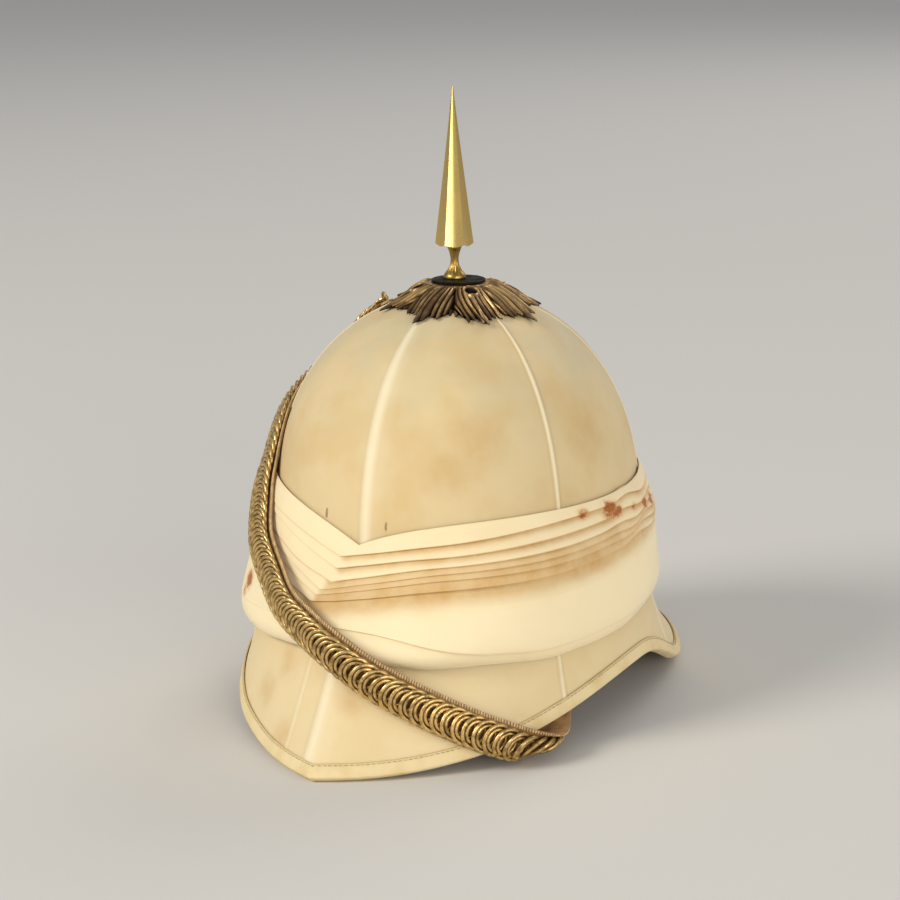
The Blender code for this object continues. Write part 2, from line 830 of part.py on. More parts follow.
def chain_piece(name, samples, start, end, links, material):
    """One stretch of chain, with a swelling for each link."""
    rings = []
    for half in range(2 * links + 1):
        at_link = half % 2
        inside = 0 < half < 2 * links
        rings.append(
            link_section(
                samples,
                start + (end - start) * half / (2.0 * links),
                1.0 if at_link else LINK_GAP_WIDTH,
                1.0 if at_link else LINK_GAP_THICKNESS,
                LINK_BOW if inside else 0.0,
            )
        )
    corners, faces = skin(rings, closed=False)
    return add_object(name, corners, split_evenly(faces), material, 40)


def chin_chain(samples, links):
    """The chain in a few stretches that meet end to end."""
    brass = finish("antique chain brass", (0.42, 0.30, 0.12), 0.4, 1.0)
    step = (samples[-1][2] + FIT_GAP) / CHAIN_SOLIDS
    for index in range(CHAIN_SOLIDS):
        start = step * index
        chain_piece(f"chain_{index + 1}", samples, start, start + step - FIT_GAP, links, brass)


def chain_backing(samples, steps):
    """Leather strap under the chain."""
    half, base = BACKING_WIDTH / 2.0, -stack_thickness() / 2.0
    rings = []
    for step in range(steps + 1):
        middle, side, face = route_frame(samples, samples[-1][2] * step / steps)
        ring = []
        for across, up in ((-half, BACKING_THICKNESS), (half, BACKING_THICKNESS), (half, 0.0), (-half, 0.0)):
            ring.append(middle + side * across + face * (base + up))
        rings.append(ring)
    corners, faces = skin(rings, closed=False)
    leather = finish("brown backing leather", (0.16, 0.09, 0.04), 0.75)
    return add_object("chain_backing", corners, split_evenly(faces), leather, 40)


def chain_and_backing():
    """Chain over its backing, both along the route, with the plates and rings at the ends."""
    samples = smooth_route(chain_stations())
    links = round(samples[-1][2] / LINK_PITCH / CHAIN_SOLIDS)
    chin_chain(samples, links)
    chain_backing(samples, 2 * links * CHAIN_SOLIDS)


def stand_on_origin():
    """Sets the origin under the middle of the whole helmet."""
    pieces = [item for item in bpy.data.objects if item.type == "MESH"]
    shown = [corner.co for item in pieces if not item.hide_render for corner in item.data.vertices]
    middle = [(max(co[axis] for co in shown) + min(co[axis] for co in shown)) / 2.0 for axis in (0, 1)]
    helmet = bpy.data.objects.new("helmet", None)
    helmet.location = (-middle[0], -middle[1], 0.0)
    bpy.context.scene.collection.objects.link(helmet)
    for item in pieces:
        item.parent = helmet


def main():
    """Builds the helmet from the cork outwards."""
    clear_scene()
    helmet_shell()
    edge_binding()
    puggaree_wrap()
    puggaree_folds()
    leaf_base()
    top_disc()
    spike_foot()
    spike()
    chain_and_backing()
    stand_on_origin()


if __name__ == "__main__":
    main()
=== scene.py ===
"""Looks of the officer's pith helmet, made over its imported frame.

Metres, +Z up, front peak towards -Y. Shapes are worked out about the crown's upright axis and moved
to the frame when a piece is made. Angles are degrees from the front, growing to the wearer's left.
"""

import bisect
import math

import bpy
import numpy as np
from bpy.props import FloatProperty, FloatVectorProperty, IntProperty, PointerProperty
from mathutils import Matrix, Vector


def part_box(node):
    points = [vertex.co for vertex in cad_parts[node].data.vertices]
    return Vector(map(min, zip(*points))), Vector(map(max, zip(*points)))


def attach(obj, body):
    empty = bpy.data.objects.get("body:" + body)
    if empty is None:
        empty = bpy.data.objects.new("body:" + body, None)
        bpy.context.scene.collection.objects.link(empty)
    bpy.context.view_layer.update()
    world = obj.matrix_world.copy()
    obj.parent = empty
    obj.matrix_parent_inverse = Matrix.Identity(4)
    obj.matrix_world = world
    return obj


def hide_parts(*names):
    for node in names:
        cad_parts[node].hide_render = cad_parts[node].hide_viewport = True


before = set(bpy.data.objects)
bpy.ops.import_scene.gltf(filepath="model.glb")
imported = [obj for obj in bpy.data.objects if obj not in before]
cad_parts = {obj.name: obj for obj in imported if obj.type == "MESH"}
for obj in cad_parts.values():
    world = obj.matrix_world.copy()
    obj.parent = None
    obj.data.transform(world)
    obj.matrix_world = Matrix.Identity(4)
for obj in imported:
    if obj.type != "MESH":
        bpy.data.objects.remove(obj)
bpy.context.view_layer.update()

bl_info = {
    "name": "Pith helmet finishes",
    "version": (1, 0, 0),
    "blender": (4, 5, 0),
    "location": "3D View > Sidebar > Helmet",
    "description": "Cloth, wrap, crest and chin chain of a pith helmet over its CAD frame",
    "category": "Object",
}

FOOT_LOW, FOOT_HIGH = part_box("spike_foot")
AXIS = Vector(((FOOT_LOW.x + FOOT_HIGH.x) / 2.0, (FOOT_LOW.y + FOOT_HIGH.y) / 2.0, 0.0))

# Cork body, as in the CAD
CROWN_FRONT, CROWN_REAR, CROWN_HALF_WIDTH = 0.105, 0.108, 0.0925
CROWN_TOP, WAIST_HEIGHT = 0.212, 0.0875
CROWN_ROUNDNESS, CROWN_SHOULDER = 2.14, 2.43
CORK_WALL = 0.0036
BRIM_FRONT, BRIM_REAR, BRIM_HALF_WIDTH = 0.140, 0.1755, 0.1030
PEAK_POINT, PEAK_POINT_ANGLE = 0.017, 28.0
SIDE_ARCH = 0.0285
FRONT_REST_ANGLE, REAR_REST_ANGLE = 5.0, 142.0
FRONT_LIFT, REAR_LIFT = 0.00090, 0.00155
FLARE_FRONT, FLARE_REAR = 0.85, 0.15
BINDING_CLOTH, BINDING_CLEARANCE, BINDING_LEG = 0.0008, 0.0005, 0.0062
STITCH_LINE = 0.0052

# Wrap, as in the CAD
WRAP_CLEARANCE = 0.0006
WRAP_TOP, WRAP_TILT, V_DROP, V_SPREAD_ANGLE = 0.1235, 0.0055, 0.0190, 20.0
FOLD_FOOT_FRONT, FOLD_FOOT_RISE = 0.077, 0.023
WRAP_BULK_FRONT, WRAP_BULK_REAR, FOLD_TOP_BULK = 0.013, 0.0065, 0.0014

# Crest, as in the CAD
LEAF_TIP_RADIUS, LEAF_TURN, BASE_RISE, PLATEAU_RADIUS = 0.0425, -1.0, 0.0060, 0.0150
LEAF_SEAT = 0.0014
BASE_SHIFT = Vector((0.0028, -0.0015, 0.0))
LEAF_REACH = (1.0, 0.98, 0.98, 1.0, 1.0, 1.0, 0.79, 0.90)
LEAF_OUTLINE = ((0.0, 1.00), (5.0, 0.93), (10.0, 0.91), (15.0, 0.86), (20.0, 0.87), (22.5, 0.84))
LEAF_SLOPE = ((0.0, 1.0), (0.22, 0.93), (0.48, 0.66), (0.78, 0.22), (1.0, 0.0))
EYE_RING_RADIUS, EYE_RADIUS, EYE_TURN = 0.0213, 0.0026, 44.0
FOOT_RADIUS = 0.0058
FOOT_SECTION = (
    (0.00, 1.00), (0.05, 1.00), (0.12, 0.90), (0.24, 0.62), (0.38, 0.42),
    (0.50, 0.36), (0.62, 0.38), (0.80, 0.52), (0.92, 0.66), (1.00, 0.66),
)
SPIKE_RADIUS, SPIKE_SIDES, SPIKE_TURN = 0.0095, 6, -3.0
SPIKE_SWELL, SPIKE_TIP, FACET_DIP = 1.06, 0.0003, 0.0011

# Seams of the cloth: angle on the crown, angle on the brim, and height in millimetres on each
SEAMS = (
    (-9.2, -9.2, 0.0, 0.22),
    (0.9, -2.2, 0.32, 0.40),
    (58.8, 54.6, 0.75, 0.55),
    (119.0, 118.0, 0.70, 0.50),
    (179.0, 180.0, 0.70, 0.50),
    (239.0, 240.0, 0.70, 0.50),
    (299.0, 301.0, 0.70, 0.50),
)
SEAM_OFFSETS = (-4.6, -3.4, -2.4, -1.6, -1.0, -0.5, 0.0, 0.5, 1.0, 1.6, 2.4, 3.4, 4.6)

# Lower edge of each pleat, (angle, height in millimetres), with the tip of its chevron named by its angle
PLEATS = (
    (-4.1, (
        (-180, 118.5), (-130, 120), (-95, 121), (-60, 118.5), (-45, 116.3), (-32.9, 113.2),
        (-23.7, 110.0), (-11.6, 103.6), (-4.1, 98.7), (11.9, 104.3), (22.3, 106.9), (57.7, 112.7),
        (90, 114), (118, 112.8), (150, 115.5), (180, 118.5),
    )),
    (-4.9, (
        (-180, 113.5), (-130, 115), (-95, 116), (-60, 114), (-45, 112.3), (-32.6, 110.0), (-21.4, 104.6),
        (-10.9, 97.7), (-4.9, 93.0), (12.3, 99.3), (22.4, 101.3), (56.8, 105.9), (90, 108.5), (118, 108),
        (150, 111), (180, 113.5),
    )),
    (-5.7, (
        (-180, 109.5), (-130, 110.5), (-95, 111), (-60, 108.5), (-45, 106.3), (-35, 103.5),
        (-26.9, 99.9), (-18.9, 94.3), (-5.7, 86.5), (12.4, 94.2), (22.4, 96.8), (56.3, 100.4),
        (90, 103.8), (118, 104.2), (150, 107), (180, 109.5),
    )),
    (-8.0, (
        (-180, 106.5), (-130, 106.5), (-95, 106), (-60, 103), (-45, 101), (-35, 98.8), (-26, 95.6),
        (-13.5, 86.6), (-8.0, 82.7), (12.5, 90.9), (22.4, 93.7), (56.5, 97.0), (90, 100.6), (118, 101.6),
        (150, 104.4), (180, 106.5),
    )),
    (-8.6, (
        (-180, 104), (-130, 103), (-95, 101.5), (-60, 98.2), (-45, 96.2), (-35, 94.3), (-26, 91.4),
        (-14.0, 83.8), (-8.6, 80.4), (12.7, 88.2), (22.5, 90.8), (56.5, 93.6), (90, 97.6), (118, 99.2),
        (150, 102), (180, 104),
    )),
    (-9.4, (
        (-180, 101), (-130, 98.5), (-95, 96), (-60, 92.2), (-45, 90), (-35, 88), (-26, 85.4),
        (-14.0, 80.2), (-9.4, 77.4), (13.0, 84.3), (22.5, 86.2), (56.5, 89.4), (90, 94.2), (118, 96.4),
        (150, 99.2), (180, 101),
    )),
)

PLEAT_TUCK, PLEAT_WAVE = 0.0032, 0.0011
# Rows of a strip of cloth: shares of the way down its face, then up its back with the depth of each
PLEAT_FACE = (0.0, 0.12, 0.24, 0.36, 0.48, 0.6, 0.72, 0.84, 0.93, 0.98)
PLEAT_BACK = ((1.0, 0.4), (0.97, 0.95), (0.8, 1.0), (0.4, 1.0), (0.0, 0.6))
BAND_FACE = (0.0, 0.06, 0.13, 0.2, 0.28, 0.36, 0.45, 0.55, 0.65, 0.75, 0.84, 0.91, 0.96, 0.99)
BAND_BACK = (
    (1.0, 0.5), (0.98, 1.0), (0.84, 1.0), (0.7, 1.0), (0.6, 1.0), (0.5, 1.0), (0.4, 1.0), (0.25, 1.0),
    (0.0, 0.8),
)

# Fold of the smooth wrap and its foot: angle, height in millimetres
WRAP_CREASE = (
    (-180, 60), (-60, 60), (-30, 65), (-12, 69.0), (-2.4, 69.0), (7.2, 67.5), (13.6, 64.8), (20.8, 60.8),
    (29.4, 57.0), (40.2, 54.9), (48.8, 53.8), (60, 54.5), (80, 57), (100, 60), (180, 60),
)
WRAP_FEET = (
    (-180, 50), (-100, 47.5), (-54, 47), (-30, 50), (-14, 53), (-10, 53.5), (5, 52), (14, 50),
    (20, 48.7), (35, 49), (50, 47.5), (60, 48.3), (80, 50.5), (97, 54), (120, 53), (180, 50),
)

# Route of the chain, as in the CAD: angle, height, distance out from the cork in millimetres, and lean
CHAIN_START = ((-0.04533, 0.00307, 0.20449), (-0.4372, -0.0119, 0.8993))
CHAIN_ROUTE = (
    (-105.0, 194.0, 5.0, 51.0), (-107.0, 184.0, 4.8, 40.0), (-103.0, 173.5, 4.0, 32.0),
    (-94.0, 165.5, 3.9, 28.0), (-84.0, 159.5, 3.8, 24.0), (-74.0, 154.5, 3.7, 21.0),
    (-65.5, 148.5, 3.6, 19.0), (-58.0, 141.0, 3.5, 17.0), (-51.5, 131.0, 4.3, 15.0),
    (-45.5, 119.5, 7.1, 20.0), (-40.0, 110.5, 9.6, 20.0), (-35.5, 102.0, 12.2, 16.0),
    (-31.0, 95.0, 14.4, 12.0), (-23.3, 85.0, 16.8, 8.0), (-14.8, 75.5, 19.4, 2.0),
    (-7.0, 68.5, 20.0, 0.0), (0.5, 61.0, 19.0, 0.0), (8.0, 49.5, 15.2, 5.0), (16.0, 37.5, 9.0, 12.0),
    (24.0, 28.0, 7.0, 16.0), (32.0, 19.5, 6.9, 12.0), (36.0, 15.6, 6.9, 2.0), (39.5, 12.2, 6.2, -15.0),
    (43.5, 9.8, 3.2, -41.0), (47.5, 9.4, -1.0, -70.0), (50.5, 12.0, -7.0, -105.0),
    (53.0, 18.0, -11.5, -138.0), (56.0, 27.0, -10.8, -163.0), (61.0, 36.5, -9.4, -172.0),
    (67.5, 46.0, -8.8, -176.0),
)
CHAIN_END = ((0.08835, -0.02609, 0.05475), (-0.9674, 0.1553, -0.1999))
CHAIN_THICKNESS = 0.0036
BACKING_WIDTH, BACKING_THICKNESS, BACKING_CLEARANCE = 0.0190, 0.0012, 0.0005
STACK = CHAIN_THICKNESS + BACKING_THICKNESS + BACKING_CLEARANCE
ROUTE_STEPS = 12
END_WIDTH, END_TAPER = 0.42, 0.034
STRAP_STITCH_PITCH = 0.00145
RING_STEPS, WIRE_SIDES = 24, 6

# Marks of age on the wrap and the crown: place about the axis in millimetres, and reach
RUST_MARKS = (
    (-75.6, -86.9, 72.7, 13.0), (-77.0, -84.0, 66.0, 9.0), (93.6, -18.2, 111.0, 13.0),
    (95.0, -12.0, 109.0, 9.0), (88.5, -38.6, 113.3, 7.0), (92.2, 37.5, 103.2, 11.0),
    (96.5, 22.0, 105.5, 8.0), (95.2, 6.0, 107.0, 7.0),
)
CRACKS = ((13.3, -102.4, 114.1, 1.5), (-20.5, -100.8, 117.0, 1.5), (-5.1, -103.6, 107.3, 1.2))
# Browned patches of the crown and brim: angle, height and reach in millimetres
STAINS = (
    (-17.0, 42.0, 15.0), (-24.0, 26.0, 17.0), (-12.0, 12.0, 13.0), (4.0, 34.0, 12.0), (34.0, 152.0, 24.0),
    (24.0, 140.0, 18.0), (76.0, 150.0, 24.0), (140.0, 140.0, 26.0), (-80.0, 135.0, 24.0), (160.0, 40.0, 20.0),
)

# Studio: lamps by name, place, the point that they face, width, watts and colour
MIDDLE = (0.0, 0.0, 0.12)
LAMPS = (
    ("key", (-2.5, -3.5, 2.8), MIDDLE, 2.2, 155.0, (1.0, 0.96, 0.88)),
    ("front", (3.0, -3.0, 0.95), (0.0, 0.0, 0.22), 1.6, 48.0, (1.0, 0.96, 0.90)),
    ("fill", (4.0, -1.2, 1.2), MIDDLE, 3.0, 38.0, (1.0, 0.95, 0.87)),
    ("back", (0.8, 4.0, 3.0), MIDDLE, 3.0, 45.0, (1.0, 0.98, 0.94)),
)
SKY_STRENGTH = 0.40
FLOOR_REACH, FLOOR_HEIGHT = 60.0, -0.0002
CAMERA_SENSOR, CAMERA_LENS = 36.0, 94.68
CAMERA_PLACE = Vector((0.54686, -1.06989, 0.41710))
CAMERA_RIGHT = Vector((0.89037, 0.45507, -0.01273))
CAMERA_UP = Vector((-0.09521, 0.21348, 0.97230))
CAMERA_AHEAD = Vector((-0.44518, 0.86449, -0.23340))


def linear(code):
    """Linear colour from an sRGB hex code."""
    parts = [int(code[i : i + 2], 16) / 255.0 for i in (0, 2, 4)]
    return tuple(c / 12.92 if c <= 0.04045 else ((c + 0.055) / 1.055) ** 2.4 for c in parts)


def length_setting(name, description, default):
    """A length that a user may change."""
    return FloatProperty(name=name, description=description, default=default, unit="LENGTH")


def colour_setting(name, description, code):
    """A colour that a user may change, from its sRGB hex code."""
    return FloatVectorProperty(name=name, description=description, default=linear(code), subtype="COLOR")


class HelmetSizes(bpy.types.PropertyGroup):
    """Sizes that a user would change."""

    seam_share: FloatProperty(
        name="Seam height", description="Height of the raised seams, as a share", default=1.0
    )
    lip_left: length_setting("Pleat lip, left", "How far a pleat's edge stands out, wearer's left", 0.00115)
    lip_right: length_setting("Pleat lip, right", "How far a pleat's edge stands out, wearer's right", 0.0006)
    cloth: length_setting("Cloth", "Thickness of a folded pleat", 0.0006)
    ring_radius: length_setting("Ring radius", "Middle of a chain ring's outer wire", 0.0076)
    wire_radius: length_setting("Wire radius", "Half thickness of the chain's wire", 0.00106)
    ring_pitch: length_setting("Ring pitch", "Distance from ring to ring", 0.0054)
    ring_lean: FloatProperty(
        name="Ring lean", description="How far each ring lies over the next",
        default=math.radians(17.0), subtype="ANGLE",
    )
    stitch: length_setting("Stitch", "Length of a stitch in the edge binding", 0.0019)
    stitch_pitch: length_setting("Stitch pitch", "Distance from stitch to stitch", 0.0026)
    strands: IntProperty(
        name="Leaf strands", description="Flutes across one leaf of the base", default=7
    )


class HelmetColours(bpy.types.PropertyGroup):
    """Colours that a user would change."""

    cloth: colour_setting("Crown cloth", "Aged cotton over the cork", "DDC696")
    # Painted shade: the greyer, darker tone laid over the top of the crown.
    cloth_top_shade: colour_setting("Crown cloth, paler", "Cloth near the top", "C9BD98")
    cloth_tan: colour_setting("Crown cloth, browned", "Browned blotches", "CFAC6C")
    muslin: colour_setting("Muslin", "Wrap in the light", "FAE6BC")
    # Tan of the wrap under its pleats: painted shadow together with brown staining.
    muslin_shadow_and_stain: colour_setting("Muslin, browned", "Wrap under its pleats", "CB9E5A")
    rust: colour_setting("Rust", "Rust marks in the wrap", "A45A12")
    binding: colour_setting("Binding", "Edge binding", "E8D4A4")
    thread: colour_setting("Thread", "Stitches of the binding", "C4AF84")
    bronze: colour_setting("Leaf base, dark", "Tarnished hollows", "5C4228")
    # Bright metal of the leaf ridges: rubbing wear together with painted highlight.
    bronze_rub_and_highlight: colour_setting("Leaf base, rubbed", "Rubbed ridges", "DEB87C")
    brass: colour_setting("Brass", "Polished spike", "E6C578")
    chain: colour_setting("Chain brass", "Wire of the chain", "E4C485")
    leather: colour_setting("Leather", "Backing of the chain", "A07A4C")
    floor: colour_setting("Floor", "Plain floor", "D9D6D0")


def around(angle):
    """Level unit vector from the axis at an angle counted from the front."""
    turn = math.radians(angle)
    return Vector((math.sin(turn), -math.cos(turn), 0.0))


def place(angle, radius, height):
    """Point at an angle, a distance from the axis and a height."""
    turn = math.radians(angle)
    return Vector((math.sin(turn) * radius, -math.cos(turn) * radius, height))


def wrapped(angle):
    """The same angle between -180 and 180 degrees."""
    return (angle + 180.0) % 360.0 - 180.0


def smooth_step(low, high, value):
    """0 below low, 1 above high, and an easy curve between."""
    share = min(max((value - low) / (high - low), 0.0), 1.0)
    return share * share * (3.0 - 2.0 * share)


def bell(offset, width):
    """1 in the middle, falling smoothly to nothing on both sides."""
    return math.exp(-((offset / width) ** 2))


def front_to_rear(front, rear, angle):
    """A size that passes smoothly from its front to its rear value."""
    return front + (rear - front) * (1.0 - math.cos(math.radians(angle))) / 2.0


def oval(angle, front, rear, half_width):
    """Radius of an oval made of two half ellipses."""
    turn = math.radians(angle)
    length = front if math.cos(turn) > 0.0 else rear
    return 1.0 / math.hypot(math.cos(turn) / length, math.sin(turn) / half_width)


def read_smooth(table, value, corner=None):
    """Value of a two-column table, on a smooth curve through its rows but for one corner."""
    keys = [row[0] for row in table]
    i = min(max(bisect.bisect_right(keys, value), 1), len(table) - 1)
    (x0, y0), (x1, y1) = table[i - 1], table[i]
    slope = (y1 - y0) / (x1 - x0)
    first = last = slope
    if i > 1 and x0 != corner:
        first = (y1 - table[i - 2][1]) / (x1 - table[i - 2][0])
    if i < len(table) - 1 and x1 != corner:
        last = (table[i + 1][1] - y0) / (table[i + 1][0] - x0)
    s, span = (value - x0) / (x1 - x0), x1 - x0
    bend = s * (1.0 - s) * span
    return y0 + (y1 - y0) * s * s * (3.0 - 2.0 * s) + bend * ((1.0 - s) * first - s * last)


def crown_reach(angle):
    """Radius of the crown at the waist."""
    return oval(angle, CROWN_FRONT, CROWN_REAR, CROWN_HALF_WIDTH)


def crown_height(angle, radius):
    """Height of the crown's outside at a distance from the axis."""
    share = min(radius / crown_reach(angle), 1.0)
    rise = (1.0 - share**CROWN_ROUNDNESS) ** (1.0 / CROWN_SHOULDER)
    return WAIST_HEIGHT + (CROWN_TOP - WAIST_HEIGHT) * rise


def brim_point(angle, share):
    """Radius and height of the brim's outside, from the waist (0) to the finished edge (1)."""
    off = abs(wrapped(angle))
    point = max(0.0, 1.0 - off / PEAK_POINT_ANGLE) ** 2
    edge = oval(angle, BRIM_FRONT, BRIM_REAR, BRIM_HALF_WIDTH) + PEAK_POINT * point
    if off < 90.0:
        rise = max(0.0, (off - FRONT_REST_ANGLE) / (90.0 - FRONT_REST_ANGLE))
    else:
        rise = max(0.0, (REAR_REST_ANGLE - off) / (REAR_REST_ANGLE - 90.0))
    height = SIDE_ARCH * (1.0 - math.cos(math.pi * rise)) / 2.0 + front_to_rear(FRONT_LIFT, REAR_LIFT, angle)
    flare = front_to_rear(FLARE_FRONT, FLARE_REAR, angle)
    reach = crown_reach(angle)
    radius = reach + (edge - reach) * (flare * share + (1.0 - flare) * share * share)
    return Vector((radius, WAIST_HEIGHT + (height - WAIST_HEIGHT) * share))


def edge_frame(angle):
    """Cork's outer edge in the upright plane, the way the brim runs there and its normal."""
    end, before = brim_point(angle, 1.0), brim_point(angle, 0.99)
    along = (end - before).normalized()
    normal = Vector((-along.y, along.x))
    return end - along * (BINDING_CLEARANCE + BINDING_CLOTH) + normal * CORK_WALL / 2.0, along, normal


def cork_outside(angle, height):
    """Radius of the cork's outside at a height."""
    if height >= WAIST_HEIGHT:
        share = min((height - WAIST_HEIGHT) / (CROWN_TOP - WAIST_HEIGHT), 1.0)
        return crown_reach(angle) * (1.0 - share**CROWN_SHOULDER) ** (1.0 / CROWN_ROUNDNESS)
    edge = edge_frame(angle)[0]
    share = (WAIST_HEIGHT - height) / (WAIST_HEIGHT - edge.y)
    return brim_point(angle, share).x + (edge.x - brim_point(angle, 1.0).x) * share


def put_in_scene(name, data):
    """Puts a mesh, lamp or camera into the scene as an object."""
    made = bpy.data.objects.new(name, data)
    bpy.context.scene.collection.objects.link(made)
    return made


def make_piece(name, rings, material, closed=False, poles=None, marks=None, sharp=None):
    """A piece through rings of equal count, its faces turned outwards, with marks stored on its points."""
    rows, count = len(rings), len(rings[0])
    points = [point for ring in rings for point in ring]
    faces = []
    for row in range(rows if closed else rows - 1):
        low, high = row * count, (row + 1) % rows * count
        for step in range(count):
            after = (step + 1) % count
            faces.append((low + step, low + after, high + after, high + step))
    if poles:
        points.extend(poles)
        last = (rows - 1) * count
        for step in range(count):
            after = (step + 1) % count
            faces.append((after, step, rows * count))
            faces.append((last + step, last + after, rows * count + 1))
    where = np.array([tuple(point) for point in points])
    corners = where[[face if len(face) == 4 else (*face, face[2]) for face in faces]]
    a, b, c, d = corners.transpose(1, 0, 2)
    if np.sum(a * (np.cross(b, c) + np.cross(c, d))) < 0.0:
        faces = [tuple(reversed(face)) for face in faces]
    mesh = bpy.data.meshes.new(name)
    mesh.from_pydata((where + np.array(AXIS)).tolist(), [], faces)
    for mark, values in (marks or {}).items():
        flat = [value for ring in values for value in ring] + [0.0] * (len(points) - rows * count)
        mesh.attributes.new(mark, "FLOAT", "POINT").data.foreach_set("value", flat)
    mesh.shade_smooth()
    if sharp is not None:
        mesh.set_sharp_from_angle(angle=math.radians(sharp))
    mesh.materials.append(material)
    return put_in_scene(name, mesh)


def marked_piece(name, made, mark, material):
    """A piece that goes all the way round, from sections that each bring one mark for their points."""
    marks = {mark: [values for _, values in made]}
    return make_piece(name, [ring for ring, _ in made], material, closed=True, marks=marks, sharp=60)


def join_pieces(name, parts):
    """One piece from several, keeping their marks."""
    bpy.ops.object.select_all(action="DESELECT")
    for part in parts:
        part.select_set(True)
    bpy.context.view_layer.objects.active = parts[0]
    bpy.ops.object.join()
    parts[0].name = parts[0].data.name = name
    return parts[0]


def add_node(tree, kind, wires=None, **settings):
    """Adds a node with its settings; wires gives its inputs values, colours or other nodes' outputs."""
    made = tree.nodes.new(kind)
    for key, value in settings.items():
        setattr(made, key, value)
    for key, value in (wires or {}).items():
        socket = made.inputs[key]
        if isinstance(value, bpy.types.NodeSocket):
            tree.links.new(value, socket)
        else:
            socket.default_value = (*value, 1.0) if socket.type == "RGBA" else value
    return made


def start_material(name, **shader):
    """A material with its shader's own values, its tree and its Object coordinates."""
    made = bpy.data.materials.new(name)
    made.use_nodes = True
    tree = made.node_tree
    for key, value in shader.items():
        tree.nodes["Principled BSDF"].inputs[key.replace("_", " ")].default_value = value
    return made, tree, add_node(tree, "ShaderNodeTexCoord").outputs["Object"]


def wire_up(material, colour, normal=None, roughness=None):
    """Wires a material's colour, bump and roughness into its shader."""
    tree = material.node_tree
    for key, socket in (("Base Color", colour), ("Normal", normal), ("Roughness", roughness)):
        if socket is not None:
            tree.links.new(socket, tree.nodes["Principled BSDF"].inputs[key])
    return material


def tint(tree, base, colour, share, strength=1.0):
    """Lays a colour over another by a share times a strength; a share may be a mark on the piece's points."""
    if isinstance(share, str):
        share = add_node(tree, "ShaderNodeAttribute", attribute_name=share).outputs["Fac"]
    amount = add_node(tree, "ShaderNodeMath", {0: share, 1: strength}, operation="MULTIPLY", use_clamp=True)
    wires = {0: amount.outputs[0], 6: base, 7: colour}
    return add_node(tree, "ShaderNodeMix", wires, data_type="RGBA").outputs[2]


def cloud(tree, spot, size, low, high, detail=3.0, rough=0.55):
    """Noise whose blotches are about size metres wide, spread between two levels."""
    wires = {"Vector": spot, "Scale": 1.0 / size, "Detail": detail, "Roughness": rough}
    noise = add_node(tree, "ShaderNodeTexNoise", wires)
    wires = {"Value": noise.outputs["Fac"], "From Min": low, "From Max": high}
    return add_node(tree, "ShaderNodeMapRange", wires, interpolation_type="SMOOTHSTEP").outputs["Result"]


def weave(tree, spot, thread, strength):
    """Bump of crossed threads with slubs; the threads of about 0.3 mm are drawn wider so that they show."""
    crossed = []
    for direction, waves in (("Z", 0.314), ("DIAGONAL", 0.222)):
        wires = {"Vector": spot, "Scale": waves / thread, "Distortion": 1.2, "Detail": 1.0}
        crossed.append(add_node(tree, "ShaderNodeTexWave", wires, bands_direction=direction).outputs["Fac"])
    slub = add_node(tree, "ShaderNodeTexNoise", {"Vector": spot, "Scale": 0.25 / thread, "Detail": 3.0})
    both = add_node(tree, "ShaderNodeMix", {0: 0.5, 2: crossed[0], 3: crossed[1]})
    cloth = add_node(tree, "ShaderNodeMix", {0: 0.3, 2: both.outputs[0], 3: slub.outputs["Fac"]})
    wires = {"Strength": strength, "Distance": 0.0002, "Height": cloth.outputs[0]}
    return add_node(tree, "ShaderNodeBump", wires).outputs["Normal"]


def pitted(tree, spot, scale, detail, strength):
    """Bump of fine pits and rubbing marks in metal."""
    pits = add_node(tree, "ShaderNodeTexNoise", {"Vector": spot, "Scale": scale, "Detail": detail})
    wires = {"Strength": strength, "Distance": 0.0001, "Height": pits.outputs["Fac"]}
    return add_node(tree, "ShaderNodeBump", wires).outputs["Normal"]


def spots(tree, spot, marks, blur, squash=1.0, fineness=260.0):
    """Where a surface lies near some marked places, with ragged edges; a low squash makes them tall."""
    wires = {"Vector": spot, "Scale": fineness, "Detail": 6.0, "Roughness": 0.7}
    ragged = add_node(tree, "ShaderNodeTexNoise", wires).outputs["Fac"]
    total = 0.0
    for x, y, z, reach in marks:
        centre = Vector((x, y, z)) / 1000.0 + AXIS
        gap = add_node(tree, "ShaderNodeVectorMath", {0: spot, 1: centre}, operation="SUBTRACT").outputs[0]
        wires = {0: gap, 1: (1.0, 1.0, squash)}
        gap = add_node(tree, "ShaderNodeVectorMath", wires, operation="MULTIPLY").outputs[0]
        far = add_node(tree, "ShaderNodeVectorMath", {0: gap}, operation="LENGTH").outputs["Value"]
        wires = {"Value": far, "From Min": 0.0, "From Max": reach / 1000.0, "To Min": 1.0, "To Max": 0.0}
        near = add_node(tree, "ShaderNodeMapRange", wires).outputs["Result"]
        total = add_node(tree, "ShaderNodeMath", {0: total, 1: near}, operation="MAXIMUM").outputs[0]
    torn = add_node(tree, "ShaderNodeMath", {0: total, 1: ragged}, operation="MULTIPLY").outputs[0]
    wires = {"Value": torn, "From Min": blur[0], "From Max": blur[1]}
    return add_node(tree, "ShaderNodeMapRange", wires, interpolation_type="SMOOTHSTEP").outputs["Result"]


